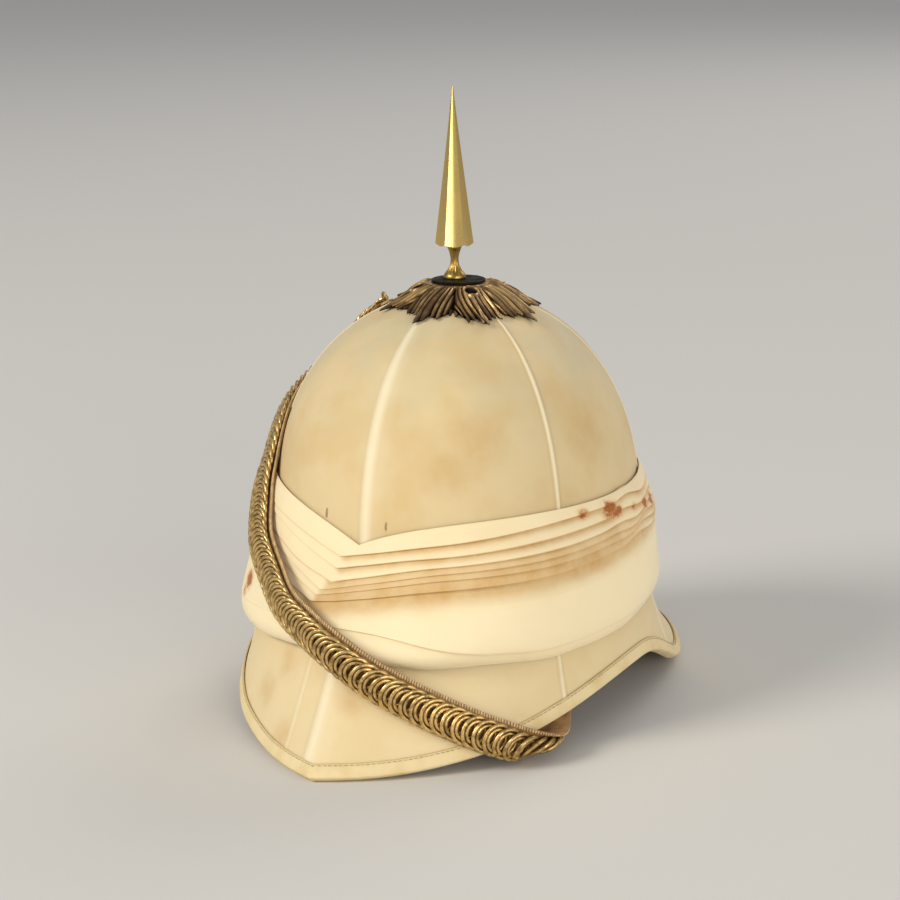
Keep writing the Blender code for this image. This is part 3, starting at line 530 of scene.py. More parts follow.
def crown_cloth(colours):
    """Cotton cloth pasted over cork and whitened; age browns it in soft blotches and leaves a faint glaze.
    Its top is tinted greyer and darker as painted shade, its raised seams lighter as painted highlight with
    rubbing wear, and the grooves beside them darker as painted shade.
    """
    made, tree, spot = start_material(
        "whitened_cotton_over_cork", Roughness=0.62, Sheen_Weight=0.12, Sheen_Roughness=0.5, IOR=1.45
    )
    height = add_node(tree, "ShaderNodeSeparateXYZ", {0: spot}).outputs["Z"]
    upper, lower = (
        add_node(tree, "ShaderNodeMapRange", {"Value": height, "From Min": start, "From Max": end}).outputs[0]
        for start, end in ((0.125, 0.215), (0.060, 0.035))
    )
    # Painted shade: the cloth turns greyer and darker towards the top of the crown, broken up by noise.
    base = tint(tree, colours.cloth, colours.cloth_top_shade, upper, cloud(tree, spot, 0.05, 0.3, 0.6))
    base = tint(tree, base, colours.cloth_tan, cloud(tree, spot, 0.038, 0.42, 0.68), 0.42)
    base = tint(tree, base, colours.cloth_tan, cloud(tree, spot, 0.009, 0.35, 0.75, 5.0), 0.10)
    base = tint(tree, base, linear("F0DEB0"), lower, 0.42)
    # Painted highlight with rubbing wear: the raised seams are tinted lighter. Painted shade: the thin
    # grooves beside them are tinted darker.
    base = tint(tree, base, linear("F4E9C8"), "welt", 0.68)
    base = tint(tree, base, linear("A98C5A"), "groove", 0.40)
    stains = [(*place(a, cork_outside(a, z / 1000.0) * 1000.0, z), reach) for a, z, reach in STAINS]
    base = tint(tree, base, linear("C79C5C"), spots(tree, spot, stains, (0.04, 0.50), 1.0, 90.0), 0.37)
    base = tint(tree, base, linear("6E5836"), spots(tree, spot, CRACKS, (0.16, 0.34), 0.3, 500.0), 0.75)
    return wire_up(made, base, weave(tree, spot, 0.0007, 0.22))


def inner_cloth():
    """Plain tan cotton pasted inside the cork: dull, with nothing drawn on it."""
    made, tree, spot = start_material("tan_cotton_inside", Roughness=0.85, IOR=1.45)
    base = tint(tree, linear("B99F70"), linear("A2875A"), cloud(tree, spot, 0.02, 0.35, 0.7))
    return wire_up(made, base, weave(tree, spot, 0.0007, 0.3))


def wrap_muslin(colours):
    """Soft cotton muslin wound in pleats; under each it is tinted tan, painted shadow together with brown
    staining, and pins have rusted into it.
    """
    made, tree, spot = start_material(
        "cotton_muslin", Roughness=0.78, Sheen_Weight=0.2, Sheen_Roughness=0.45, IOR=1.45,
        Subsurface_Weight=0.06, Subsurface_Scale=0.004,
    )
    base = tint(tree, colours.muslin, linear("EBD29B"), cloud(tree, spot, 0.045, 0.45, 0.75), 0.22)
    wires = {"Value": cloud(tree, spot, 0.016, 0.30, 0.75, 4.0), "To Min": 0.65, "To Max": 1.0}
    broken = add_node(tree, "ShaderNodeMapRange", wires).outputs["Result"]
    # Tan where the shade mark is: painted shadow and shade under and behind the pleats together with brown
    # staining, broken up by noise.
    base = tint(tree, base, colours.muslin_shadow_and_stain, "shade", broken)
    base = tint(tree, base, linear("DDA560"), spots(tree, spot, RUST_MARKS, (0.06, 0.30), 1.5), 0.5)
    base = tint(tree, base, colours.rust, spots(tree, spot, RUST_MARKS, (0.20, 0.36), 1.5), 0.95)
    return wire_up(made, base, weave(tree, spot, 0.0006, 0.16))


def binding_cloth(colours):
    """Fine cotton tape folded over the edge, rubbed smooth and a little grubby."""
    made, tree, spot = start_material("folded_cotton_tape", Roughness=0.6, IOR=1.45)
    base = tint(tree, colours.binding, linear("DCC48C"), cloud(tree, spot, 0.014, 0.35, 0.75, 4.0))
    # Painted shade: a darker line along the binding's upper edge and in its stitch groove.
    base = tint(tree, base, linear("A58A58"), "groove", 0.6)
    return wire_up(made, base, weave(tree, spot, 0.0005, 0.18))


def thread_cotton(name, colour):
    """Waxed sewing thread: dull, with darker stretches."""
    made, tree, spot = start_material(name, Roughness=0.7, IOR=1.45)
    darker = [c * 0.6 for c in colour]
    return wire_up(made, tint(tree, colour, darker, cloud(tree, spot, 0.003, 0.3, 0.7)))


def leaf_bronze(colours):
    """Stamped brass gone dark brown in its hollows and rubbed back to metal on its ridges; the bright ridges
    are painted highlight as well as wear, and the dark mark lays near black painted shade in the eyes and on
    the underside.
    """
    made, tree, spot = start_material("tarnished_stamped_brass", Metallic=0.85, Roughness=0.42)
    patchy = cloud(tree, spot, 0.006, 0.3, 0.65, 4.0)
    wires = {"Value": patchy, "From Max": 0.75, "To Min": 0.25, "To Max": 1.0}
    worn = add_node(tree, "ShaderNodeMapRange", wires).outputs["Result"]
    ridge = add_node(tree, "ShaderNodeAttribute", attribute_name="ridge").outputs["Fac"]
    rubbed = add_node(tree, "ShaderNodeMath", {0: ridge, 1: worn}, operation="MULTIPLY").outputs[0]
    # Rubbing wear together with painted highlight: the ridges and the eyes' rims are tinted to bright metal.
    base = tint(tree, colours.bronze, colours.bronze_rub_and_highlight, rubbed)
    # Near black where the dark mark is: painted shade in the eyes and on the underside; the flute hollows,
    # the gaps between leaves and the tips are darkened too.
    base = tint(tree, base, linear("0C0906"), "dark")
    rough = add_node(tree, "ShaderNodeMapRange", {"Value": rubbed, "To Min": 0.52, "To Max": 0.3})
    return wire_up(made, base, pitted(tree, spot, 1600.0, 3.0, 0.2), rough.outputs["Result"])


def worn_brass(name, colour, dull, roughness, size, depth):
    """Brass: a clean metal colour under a thin patchy tarnish, with fine rubbing marks."""
    made, tree, spot = start_material(name, Metallic=1.0, Roughness=roughness)
    tarnish = cloud(tree, spot, size, 0.38, 0.72, 5.0)
    base = tint(tree, colour, dull, tarnish, depth)
    wires = {"Value": tarnish, "To Min": roughness, "To Max": roughness + 0.3 * depth}
    rough = add_node(tree, "ShaderNodeMapRange", wires).outputs["Result"]
    return wire_up(made, base, pitted(tree, spot, 900.0, 4.0, 0.08), rough)


def backing_leather(colours):
    """Brown roan leather: dull, finely grained, paler where its edge is rubbed."""
    made, tree, spot = start_material("brown_roan_leather", Roughness=0.68, IOR=1.5)
    darker = [c * 0.45 for c in colours.leather]
    base = tint(tree, colours.leather, darker, cloud(tree, spot, 0.004, 0.35, 0.75, 5.0))
    base = tint(tree, base, linear("A07A4A"), "edge", 0.45)
    grain = add_node(tree, "ShaderNodeTexVoronoi", {"Vector": spot, "Scale": 1100.0}).outputs["Distance"]
    bump = add_node(tree, "ShaderNodeBump", {"Strength": 0.35, "Distance": 0.0002, "Height": grain})
    return wire_up(made, base, bump.outputs["Normal"])


def seam_angles(height, radius):
    """Angles of the shell's columns at a height: close together at each seam, even between."""
    low = smooth_step(0.045, 0.100, height)
    middles = [brim + (crown - brim) * low for crown, brim, _, _ in SEAMS]
    columns = []
    for index, middle in enumerate(middles):
        spread = [middle + math.degrees(off / 1000.0 / max(radius, 0.075)) for off in SEAM_OFFSETS]
        columns.extend((angle, index, off) for angle, off in zip(spread, SEAM_OFFSETS))
        after = middles[(index + 1) % len(middles)] + (360.0 if index == len(middles) - 1 else 0.0)
        reach = math.degrees(SEAM_OFFSETS[-1] / 1000.0 / max(radius, 0.075))
        start, end = middle + reach, after - reach
        count = 2 if index == 0 else 15
        columns.extend((start + (end - start) * (k + 1) / (count + 1), None, 0.0) for k in range(count))
    return columns


def seam_shape(index, offset, height):
    """Height of a seam over the cloth, with how far the spot is a welt and a groove."""
    if index is None:
        return 0.0, 0.0, 0.0
    # The welt mark later tints the cloth lighter as painted highlight, and the groove mark darker as painted
    # shade.
    on_crown, on_brim = SEAMS[index][2:]
    tall = on_brim + (on_crown - on_brim) * smooth_step(0.045, 0.100, height)
    if index == 1:
        welt, groove = bell(offset - 1.0, 2.9), bell(offset + 2.6, 0.8)
        return (tall * welt - 0.14 * groove) / 1000.0, welt, 0.5 * groove
    welt = math.exp(-((offset / 1.05) ** 4))
    groove = bell(abs(offset) - 1.8, 0.6)
    return tall * welt / 1000.0, welt * min(tall * 1.8, 1.0), groove * min(tall, 1.0)


def shell_ring(kind, value, seam_share):
    """Points of the cork's outside on one row, with the welt and groove marks of each."""
    ring, welts, grooves = [], [], []
    if kind == "crown":
        turn = math.pi / 2.0 * (1.0 - value)
        height = WAIST_HEIGHT + (CROWN_TOP - WAIST_HEIGHT) * math.sin(turn) ** (2.0 / CROWN_SHOULDER)
        mean_radius = 0.1 * math.cos(turn) ** (2.0 / CROWN_ROUNDNESS)
    else:
        height, mean_radius = WAIST_HEIGHT * (1.0 - value), 0.12
    for angle, index, offset in seam_angles(height, mean_radius):
        if kind == "crown":
            radius = crown_reach(angle) * math.cos(turn) ** (2.0 / CROWN_ROUNDNESS)
            spot = Vector((radius, height))
            normal = Vector((math.cos(turn), math.sin(turn)))
        else:
            edge, _, normal = edge_frame(angle)
            spot = brim_point(angle, value) + (edge - brim_point(angle, 1.0)) * value
        raised, welt, groove = seam_shape(index, offset, spot.y)
        fade = smooth_step(0.0, 0.02, mean_radius)
        if kind == "brim":
            fade *= 1.0 - smooth_step(0.93, 0.99, value)
        spot = spot + normal * raised * seam_share * fade
        ring.append(place(angle, spot.x, spot.y))
        welts.append(welt * fade)
        grooves.append(groove * fade)
    return ring, welts, grooves


def inside_ring(kind, value):
    """Points of the cork's inside on one row."""
    ring = []
    for angle, _, _ in seam_angles(0.12, 0.1):
        if kind == "crown":
            turn = math.pi / 2.0 * (1.0 - value)
            radius = (crown_reach(angle) - CORK_WALL) * math.cos(turn) ** (2.0 / CROWN_ROUNDNESS)
            tall = CROWN_TOP - WAIST_HEIGHT - CORK_WALL
            ring.append(place(angle, radius, WAIST_HEIGHT + tall * math.sin(turn) ** (2.0 / CROWN_SHOULDER)))
        else:
            edge, _, normal = edge_frame(angle)
            spot = brim_point(angle, value) + (edge - brim_point(angle, 1.0)) * value
            inward = normal.lerp(Vector((1.0, 0.0)), (1.0 - value) ** 4).normalized()
            spot = spot - inward * CORK_WALL
            ring.append(place(angle, spot.x, spot.y))
    return ring


def make_shell(sizes, cloth, inside):
    """Cloth-covered cork body with its raised panel seams."""
    rows = [("crown", (k / 44.0) ** 0.9) for k in range(1, 45)] + [("brim", k / 36.0) for k in range(1, 37)]
    made = [shell_ring(*row, sizes.seam_share) for row in rows]
    inner = [inside_ring(kind, k / 20.0) for kind in ("brim", "crown") for k in range(20, 0, -1)]
    blank = [[0.0] * len(inner[0])] * len(inner)
    marks = {"welt": [m[1] for m in made] + blank, "groove": [m[2] for m in made] + blank}
    poles = (Vector((0, 0, CROWN_TOP)), Vector((0, 0, CROWN_TOP - CORK_WALL)))
    rings = [m[0] for m in made] + inner
    shell = make_piece("crown_and_brim", rings, cloth, poles=poles, marks=marks, sharp=50)
    shell.data.materials.append(inside)
    inside_from = (len(made) - 1) * len(inner[0])
    for face in shell.data.polygons:
        face.material_index = int(min(face.vertices) >= inside_from)
    return shell


def binding_ring(angle):
    """Section of the edge binding with its turned edge and a groove along the stitches."""
    edge, along, normal = edge_frame(angle)
    middle = edge - normal * CORK_WALL / 2.0
    channel = CORK_WALL / 2.0 + BINDING_CLEARANCE * 0.6
    outer = channel + BINDING_CLOTH
    tip = BINDING_CLEARANCE + BINDING_CLOTH
    bend = tip - 0.0011
    outline = [
        (-BINDING_LEG, channel + 0.0001), (-BINDING_LEG - 0.0001, outer - 0.0003),
        (-BINDING_LEG + 0.0004, outer),
        (-STITCH_LINE - 0.0004, outer), (-STITCH_LINE, outer - 0.00022), (-STITCH_LINE + 0.0004, outer),
        (-0.003, outer + 0.0001), (bend, outer),
    ]
    for step in range(1, 8):
        turn = math.pi * step / 8.0
        outline.append((bend + 0.0011 * math.sin(turn) ** 0.7, outer * math.cos(turn)))
    outline += [(bend, -outer), (-BINDING_LEG, -outer), (-BINDING_LEG, -channel)]
    outline += [(0.0, -channel), (0.0, channel)]
    points = [middle + along * ahead + normal * out for ahead, out in outline]
    # Where the binding is tinted darker as painted shade: its upper edge and its stitch groove.
    groove = [0.0] * len(outline)
    groove[1], groove[2], groove[4] = 1.0, 0.5, 0.7
    return [place(angle, p.x, max(p.y, 0.0)) for p in points], groove


def make_binding(material):
    """Binding of the whole brim."""
    return marked_piece("brim_binding", [binding_ring(k) for k in range(360)], "groove", material)


def wrap_top(angle):
    """Height of the pleats' upper edge."""
    tilt = WRAP_TILT * math.sin(math.radians(angle))
    return WRAP_TOP - tilt - V_DROP * math.exp(-abs(wrapped(angle)) / V_SPREAD_ANGLE)


def wrap_depth(angle, height):
    """How far the wound cloth stands off the cork at a height."""
    angle = wrapped(angle)
    top, waist = wrap_top(angle), FOLD_FOOT_FRONT + FOLD_FOOT_RISE * math.sin(math.radians(abs(angle)) / 2.0)
    foot = read_smooth(WRAP_FEET, angle) / 1000.0
    full = front_to_rear(WRAP_BULK_FRONT, WRAP_BULK_REAR, angle)
    if height >= waist:
        share = min((top - height) / (top - waist), 1.0)
        return FOLD_TOP_BULK + (0.86 * full - FOLD_TOP_BULK) * max(share, 0.0)
    share = min((waist - height) / (waist - foot), 1.0)
    if share < 0.38:
        return full * (0.86 + 0.14 * math.sin(math.pi / 2.0 * share / 0.38))
    return full * (0.16 + 0.84 * math.cos(math.pi / 2.0 * ((share - 0.38) / 0.62) ** 1.9) ** 0.8)


def ripple(angle, height):
    """Small unevenness of cloth wound by hand."""
    a, z = math.radians(angle), height * 1000.0
    wave = math.sin(5 * a + 0.11 * z) + 0.6 * math.sin(11 * a - 0.17 * z + 1.3)
    return 0.00012 * (wave + 0.4 * math.sin(23 * a + 0.3 * z + 4.0))


def cloth_section(angle, high, low, lift, face, back, thick, waves=1.0):
    """Closed section of a strip of cloth between two heights, down its face and up its back."""
    ring = []
    for share, sink in [(share, 0.0) for share in face] + list(back):
        height = high + (low - high) * share
        off = WRAP_CLEARANCE + wrap_depth(angle, height) + lift(share) - thick * sink
        ring.append(place(angle, cork_outside(angle, height) + off + waves * ripple(angle, height), height))
    return ring


def pleat_edge(turn, index):
    """Height of a pleat's lower edge, with small waves at the wearer's left."""
    corner, table = PLEATS[index]
    kinked = smooth_step(70.0, 92.0, turn) * (1.0 - smooth_step(118.0, 150.0, turn))
    wave = PLEAT_WAVE * kinked * math.sin(math.radians(turn * 13.0 + 70.0 * index))
    return read_smooth(table, turn, corner) / 1000.0 + wave


def pleat_ring(angle, index, sizes):
    """Section of one pleat at an angle, with how far each of its points is tinted tan: a light tone all over,
    painted shadow with brown staining under the pleat above, the lower pleats tan all over on the wearer's
    left, and painted shade along its fold and on its back.
    """
    turn, corner = wrapped(angle), PLEATS[index][0]
    line, tuck, sunk = wrap_top(turn), 0.0, -0.0003
    if index:
        line, tuck, sunk = pleat_edge(turn, index - 1), PLEAT_TUCK, -0.0006
    left = smooth_step(corner - 0.3, corner + 2.2, turn) * (1.0 - smooth_step(105.0, 178.0, turn))
    lip = sizes.lip_right + (sizes.lip_left - sizes.lip_right) * left

    def lift(share):
        return sunk + (lip - sunk) * share**1.3 + 0.0003 * math.sin(math.pi * share)

    ring = cloth_section(
        turn, line + tuck, pleat_edge(turn, index), lift, PLEAT_FACE, PLEAT_BACK, sizes.cloth
    )
    shade = []
    for share, point in zip(PLEAT_FACE, ring):
        # A light tan tone over the whole pleat.
        brown = 0.12
        if index:
            # Painted shadow together with brown staining, just under the pleat above.
            below = max(line - point.z, 0.0) * 1000.0
            brown = max(brown, bell(below, 0.7 + 2.0 * left) * (0.40 + 0.60 * left))
        # The lower pleats are tinted tan all over on the wearer's left.
        if index >= 3:
            low_pleat_tan = (0.72 + 0.12 * (index - 3)) * left * (1.0 - smooth_step(70.0, 120.0, turn))
            brown = max(brown, low_pleat_tan)
        # Painted shade: a darker line along the pleat's folded lower edge.
        if share > 0.97:
            brown = max(brown, 0.35 + 0.5 * left)
        shade.append(brown)
    # Painted shade on the pleat's back.
    return ring, shade + [0.8] * len(PLEAT_BACK)


def wrap_angles():
    """Angles of the wrap's sections, close together at the front chevron."""
    close = [-16.0 + 0.5 * k for k in range(65)]
    return close + [16.5 + 1.5 * k for k in range(int((360.0 - 33.0) / 1.5) + 1)]


def make_pleats(sizes, muslin):
    """The six pleats, each lying over the next."""
    parts = []
    for index in range(len(PLEATS)):
        made = [pleat_ring(angle, index, sizes) for angle in wrap_angles()]
        parts.append(marked_piece(f"pleat_{index}", made, "shade", muslin))
    return join_pieces("puggaree_pleats", parts)


def band_ring(angle, high, low, sunk, lip, thick, brown_from):
    """Section of a smooth band of the wrap, with how far each of its points is tinted tan: painted shadow
    together with brown staining from a height down, and painted shade on its back.
    """
    def lift(share):
        return sunk + (lip - sunk) * share**1.2

    ring = cloth_section(angle, high, low, lift, BAND_FACE, BAND_BACK, thick, 2.0)
    # Painted shadow together with brown staining, fading below brown_from; painted shade on the band's back.
    reach = 6.0 * smooth_step(-14.0, -6.0, angle) * (1.0 - smooth_step(95.0, 150.0, angle)) + 0.8
    below = [max(brown_from - point.z, 0.0) * 1000.0 for point in ring[: len(BAND_FACE)]]
    return ring, [math.exp(-((gap / reach) ** 3)) for gap in below] + [0.6] * len(BAND_BACK)


def make_smooth_wrap(sizes, muslin):
    """Smooth lower part of the wrap: a band under the pleats and the band that it covers."""
    bands = {"wrap_upper": [], "wrap_lower": []}
    corner, last = PLEATS[-1]
    for angle in wrap_angles():
        turn = wrapped(angle)
        line = read_smooth(last, turn, corner) / 1000.0
        crease = read_smooth(WRAP_CREASE, turn) / 1000.0
        foot = read_smooth(WRAP_FEET, turn) / 1000.0
        shown = smooth_step(-22.0, -8.0, turn) * (1.0 - smooth_step(40.0, 56.0, turn))
        upper = band_ring(turn, line + 0.0035, crease, -0.0004, 0.0002 * shown, sizes.cloth, line)
        lower = band_ring(turn, crease + 0.004, foot, -0.0006 * shown - 0.0003, 0.0, sizes.cloth, 0.0)[0]
        # Painted shade just under the crease, where the upper band lies over the lower one.
        near = [0.25 * shown * bell(max(crease - point.z, 0.0), 0.0016) for point in lower]
        bands["wrap_upper"].append(upper)
        bands["wrap_lower"].append((lower, near))
    parts = [marked_piece(name, made, "shade", muslin) for name, made in bands.items()]
    return join_pieces("puggaree_cloth", parts)


def leaf_ring_height(angle, radius):
    """Height of the crown straight under a point placed about the middle of the leaf base."""
    point = place(angle, radius, 0.0) + BASE_SHIFT
    return crown_height(math.degrees(math.atan2(point.x, -point.y)), math.hypot(point.x, point.y))


def leaf_rise(angle, share):
    """How far the leaf base stands over the crown at a share of the way out."""
    rise = CROWN_TOP + BASE_RISE - leaf_ring_height(angle, PLATEAU_RADIUS) - LEAF_SEAT
    return rise * read_smooth(LEAF_SLOPE, share)


def read_straight(table, share):
    """Value of a two-column table, on straight lines between its rows."""
    keys = [row[0] for row in table]
    i = min(max(bisect.bisect_right(keys, share), 1), len(table) - 1)
    (x0, y0), (x1, y1) = table[i - 1], table[i]
    return y0 + (y1 - y0) * (share - x0) / (x1 - x0)


def leaf_point(angle, share, strands):
    """Point of the leaf base at an angle and a share of the way out, with its ridge and dark marks."""
    span = 360.0 / len(LEAF_REACH)
    turn = (angle - LEAF_TURN) % 360.0
    off = (turn + span / 2.0) % span - span / 2.0
    leaf, part = divmod(turn / span, 1.0)
    here, after = LEAF_REACH[int(leaf) % 8], LEAF_REACH[(int(leaf) + 1) % 8]
    which = int(round(turn / span)) % 8
    swing = 0.30 * math.sin(2.8 * share + 1.7 * which) * share
    across = off / (span / 2.0)
    phase = strands / 2.0 * (across / (1.0 - 0.30 * share * share) + swing) + 0.25 * which
    crest = abs(math.cos(math.pi * phase))
    strand = 0.5 + 0.5 * math.sin(12.9 * which + 4.7 * round(phase))
    point = 1.0 - 2.0 * abs(phase - round(phase))
    lobe = 1.0 - 2.0 * abs(phase / 3.0 - round(phase / 3.0))
    notch = abs(off) - span / 2.0
    tooth = 0.10 * (point - 0.5) + 0.10 * (lobe - 0.6) + 0.06 * bell(off, 3.0) - 0.10 * bell(notch, 2.4)
    edge = LEAF_TIP_RADIUS * read_straight(LEAF_OUTLINE, abs(off)) * (here + (after - here) * part)
    edge *= 1.0 + tooth * smooth_step(0.35, 1.0, share)
    radius = PLATEAU_RADIUS + (edge - PLATEAU_RADIUS) * share
    base = leaf_ring_height(angle, radius) + LEAF_SEAT + leaf_rise(angle, share)
    deep = smooth_step(0.0, 0.18, share)
    relief = 0.0017 * deep * (crest**0.8 - 0.6) * (0.6 + 0.6 * strand)
    relief -= 0.0022 * deep * bell(notch, 2.2)
    relief += 0.0008 * deep * bell(off, 3.0) * (1.0 - share * 0.4)
    relief += 0.0010 * smooth_step(0.82, 1.0, share) * bell(off, 6.0) * (0.3 + strand)
    # Ridge mark: rubbing wear together with painted highlight on the strand crests and the collar round the
    # plateau.
    ridge = crest**2 * (0.35 + 0.9 * strand) * (1.0 - 0.55 * smooth_step(0.70, 1.0, share))
    ridge = max(0.0, min(1.0, max(ridge, 1.0 - smooth_step(0.02, 0.06, share))))
    # Dark mark: darker towards the tips, deep in the flutes and in the gaps between leaves.
    dark = 0.45 * smooth_step(0.80, 1.0, share) * (1.1 - strand) + 0.8 * (1.0 - crest) ** 1.8 * deep
    dark = max(dark, 0.8 * deep * bell(notch, 1.6))
    spot = place(angle, radius, 0.0)
    for turned in range(4):
        eye = place(EYE_TURN + 90.0 * turned, EYE_RING_RADIUS, 0.0)
        gap = (spot - eye).length / EYE_RADIUS
        if gap < 2.2:
            rim = bell(gap - 1.45, 0.3)
            pit = 1.0 - smooth_step(0.85, 1.10, gap)
            relief = relief * smooth_step(1.0, 2.1, gap) + 0.0012 * rim - 0.0036 * pit
            # Eye: its raised rim is tinted bright, painted highlight with rubbing wear, and its pit is
            # painted near black as the shade of a pierced hole.
            ridge = max(ridge * smooth_step(1.2, 2.0, gap), rim * 0.9) * smooth_step(1.08, 1.25, gap)
            dark = max(dark * smooth_step(1.3, 2.0, gap), 1.0 - smooth_step(1.10, 1.25, gap))
    return spot + BASE_SHIFT + Vector((0.0, 0.0, base + relief)), ridge, min(dark, 1.0)


def make_leaf_base(sizes, bronze):
    """Stamped base of fluted leaves with toothed edges and four eyes, made as shallow pits painted near black
    as the shade of pierced holes.
    """
    count, rows = 720, 60
    turns = [360.0 * k / count + LEAF_TURN for k in range(count)]
    rings, ridges, darks = [], [], []
    plateau = CROWN_TOP + BASE_RISE
    for radius in (0.004, 0.010):
        rings.append([place(a, radius, plateau) + BASE_SHIFT for a in turns])
        ridges.append([0.6] * count)
        darks.append([0.2] * count)
    for k in range(rows + 1):
        made = [leaf_point(a, k / rows, sizes.strands) for a in turns]
        rings.append([m[0] for m in made])
        ridges.append([m[1] for m in made])
        darks.append([m[2] for m in made])
    rim = rings[-1]
    rings.append([p - Vector((0.0, 0.0, 0.0009)) for p in rim])
    for share in (0.66, 0.33, 0.0):
        ring = []
        for a, p in zip(turns, rim):
            out = p - BASE_SHIFT
            radius = PLATEAU_RADIUS + (math.hypot(out.x, out.y) - PLATEAU_RADIUS) * share
            height = leaf_ring_height(a, radius) + 0.0003 + 0.8 * leaf_rise(a, share)
            ring.append(place(a, radius, height) + BASE_SHIFT)
        rings.append(ring)
    # The underside is painted fully dark as shade, with no ridge.
    blank = [[0.0] * count] * 4
    full = [[1.0] * count] * 4
    poles = (Vector((0, 0, plateau)) + BASE_SHIFT, Vector((0, 0, plateau - 0.0022)) + BASE_SHIFT)
    marks = {"ridge": ridges + blank, "dark": darks + full}
    return make_piece("leaf_base_stamping", rings, bronze, poles=poles, marks=marks, sharp=70)


def make_foot(brass):
    """Waisted foot with shallow flutes on its flare."""
    low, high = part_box("spike_foot")
    tall = high.z - low.z
    rings = []
    for row in range(33):
        share = row / 32.0
        radius = FOOT_RADIUS * read_smooth(FOOT_SECTION, share)
        flute = 0.10 * smooth_step(0.08, 0.2, share) * (1.0 - smooth_step(0.42, 0.55, share))
        ring = []
        for k in range(96):
            cut = abs(math.sin(math.radians(k * 3.75) * 6.0)) ** 0.6
            ring.append(place(k * 3.75, radius * (1.0 - flute * (1.0 - cut)), low.z + tall * share))
        rings.append(ring)
    poles = (Vector((0, 0, low.z)), Vector((0, 0, high.z)))
    return make_piece("fluted_foot", rings, brass, poles=poles, sharp=35)


def make_spike(brass):
    """Six-sided spike with crisp ridges and bowed lower edges."""
    low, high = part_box("spike")
    base = low.z + FACET_DIP
    tall = high.z - base
    per_side = 8
    rings = []
    for row in range(-2, 29):
        share = max(row, 0) / 28.0
        radius = SPIKE_RADIUS * (1.0 - share) ** SPIKE_SWELL + SPIKE_TIP
        ring = []
        for k in range(SPIKE_SIDES * per_side):
            off = (k % per_side) / per_side * 60.0 - 30.0
            flat = math.cos(math.radians(30.0)) / math.cos(math.radians(off))
            bow = math.cos(math.radians(off * 3.0)) if abs(off) < 30 else 0.0
            dip = FACET_DIP * bow * (1.0 - share) ** 8
            reach = radius * (flat - 0.035 * bow)
            if row == -2:
                reach, dip = FOOT_RADIUS * 0.6, -0.0012
            elif row == -1:
                reach = reach - 0.0009
                dip = dip - 0.0002
            angle = SPIKE_TURN + k * 360.0 / (SPIKE_SIDES * per_side)
            ring.append(place(angle, reach, base + tall * share - dip))
        rings.append(ring)
    poles = (Vector((0, 0, base + 0.0012)), Vector((0, 0, high.z)))
    return make_piece("six_sided_spike", rings, brass, poles=poles, sharp=24)


def between(before, start, end, after, share):
    """Point of the smooth curve through four others."""
    line = (end - before) * share
    square = (2.0 * before - 5.0 * start + 4.0 * end - after) * share**2
    cube = (3.0 * start - before - 3.0 * end + after) * share**3
    return start + (line + square + cube) / 2.0


def chain_route():
    """Close samples of place, facing and distance along the chain's route."""
    stations = [tuple(map(Vector, CHAIN_START))]
    for angle, height, out, lean in CHAIN_ROUTE:
        rise = math.radians(lean)
        face = around(angle) * math.cos(rise) + Vector((0.0, 0.0, math.sin(rise)))
        height /= 1000.0
        stations.append((place(angle, cork_outside(angle, height) + out / 1000.0, height), face))
    stations.append(tuple(map(Vector, CHAIN_END)))
    padded = [stations[0], *stations, stations[-1]]
    samples = []
    for i in range(len(stations) - 1):
        four = padded[i : i + 4]
        for step in range(ROUTE_STEPS):
            samples.append([between(*(row[kind] for row in four), step / ROUTE_STEPS) for kind in (0, 1)])
    samples.append(list(stations[-1]))
    travelled = 0.0
    for i, sample in enumerate(samples):
        travelled += (sample[0] - samples[i - 1][0]).length if i else 0.0
        sample.append(travelled)
    return samples


def route_frame(samples, distance):
    """Middle, way along, side and facing of the chain at a distance along it."""
    distances = [sample[2] for sample in samples]
    i = min(max(bisect.bisect_right(distances, distance), 1), len(samples) - 1)
    low, high = samples[i - 1], samples[i]
    share = (distance - low[2]) / (high[2] - low[2])
    along = (high[0] - low[0]).normalized()
    face = low[1].lerp(high[1], share)
    face = (face - along * face.dot(along)).normalized()
    return low[0].lerp(high[0], share), along, along.cross(face), face


def end_share(samples, distance):
    """The chain and its strap grow narrow towards both ends, where a small ring holds them."""
    near = min(distance, samples[-1][2] - distance)
    return END_WIDTH + (1.0 - END_WIDTH) * smooth_step(0.0, END_TAPER, near)


def make_backing(samples, leather):
    """Leather strap under the chain, its edges rounded."""
    outline = (
        (-1.0, 0.3, 1.0), (-1.0, 0.7, 1.0), (-0.96, 1.0, 1.0), (-0.8, 1.0, 0.4), (0.0, 1.1, 0.0),
        (0.8, 1.0, 0.4), (0.96, 1.0, 1.0), (1.0, 0.7, 1.0), (1.0, 0.3, 1.0),
        (0.9, 0.0, 0.3), (-0.9, 0.0, 0.3),
    )
    rings, edges = [], []
    steps = 336
    for step in range(steps + 1):
        distance = samples[-1][2] * step / steps
        middle, _, side, face = route_frame(samples, distance)
        wide = BACKING_WIDTH / 2.0 * end_share(samples, distance)
        bottom = middle - face * STACK / 2.0
        rings.append([bottom + side * a * wide + face * u * BACKING_THICKNESS for a, u, _ in outline])
        edges.append([edge for _, _, edge in outline])
    poles = [sum(ring, Vector()) / len(ring) for ring in (rings[0], rings[-1])]
    return make_piece("chain_backing_strap", rings, leather, poles=poles, marks={"edge": edges}, sharp=70)


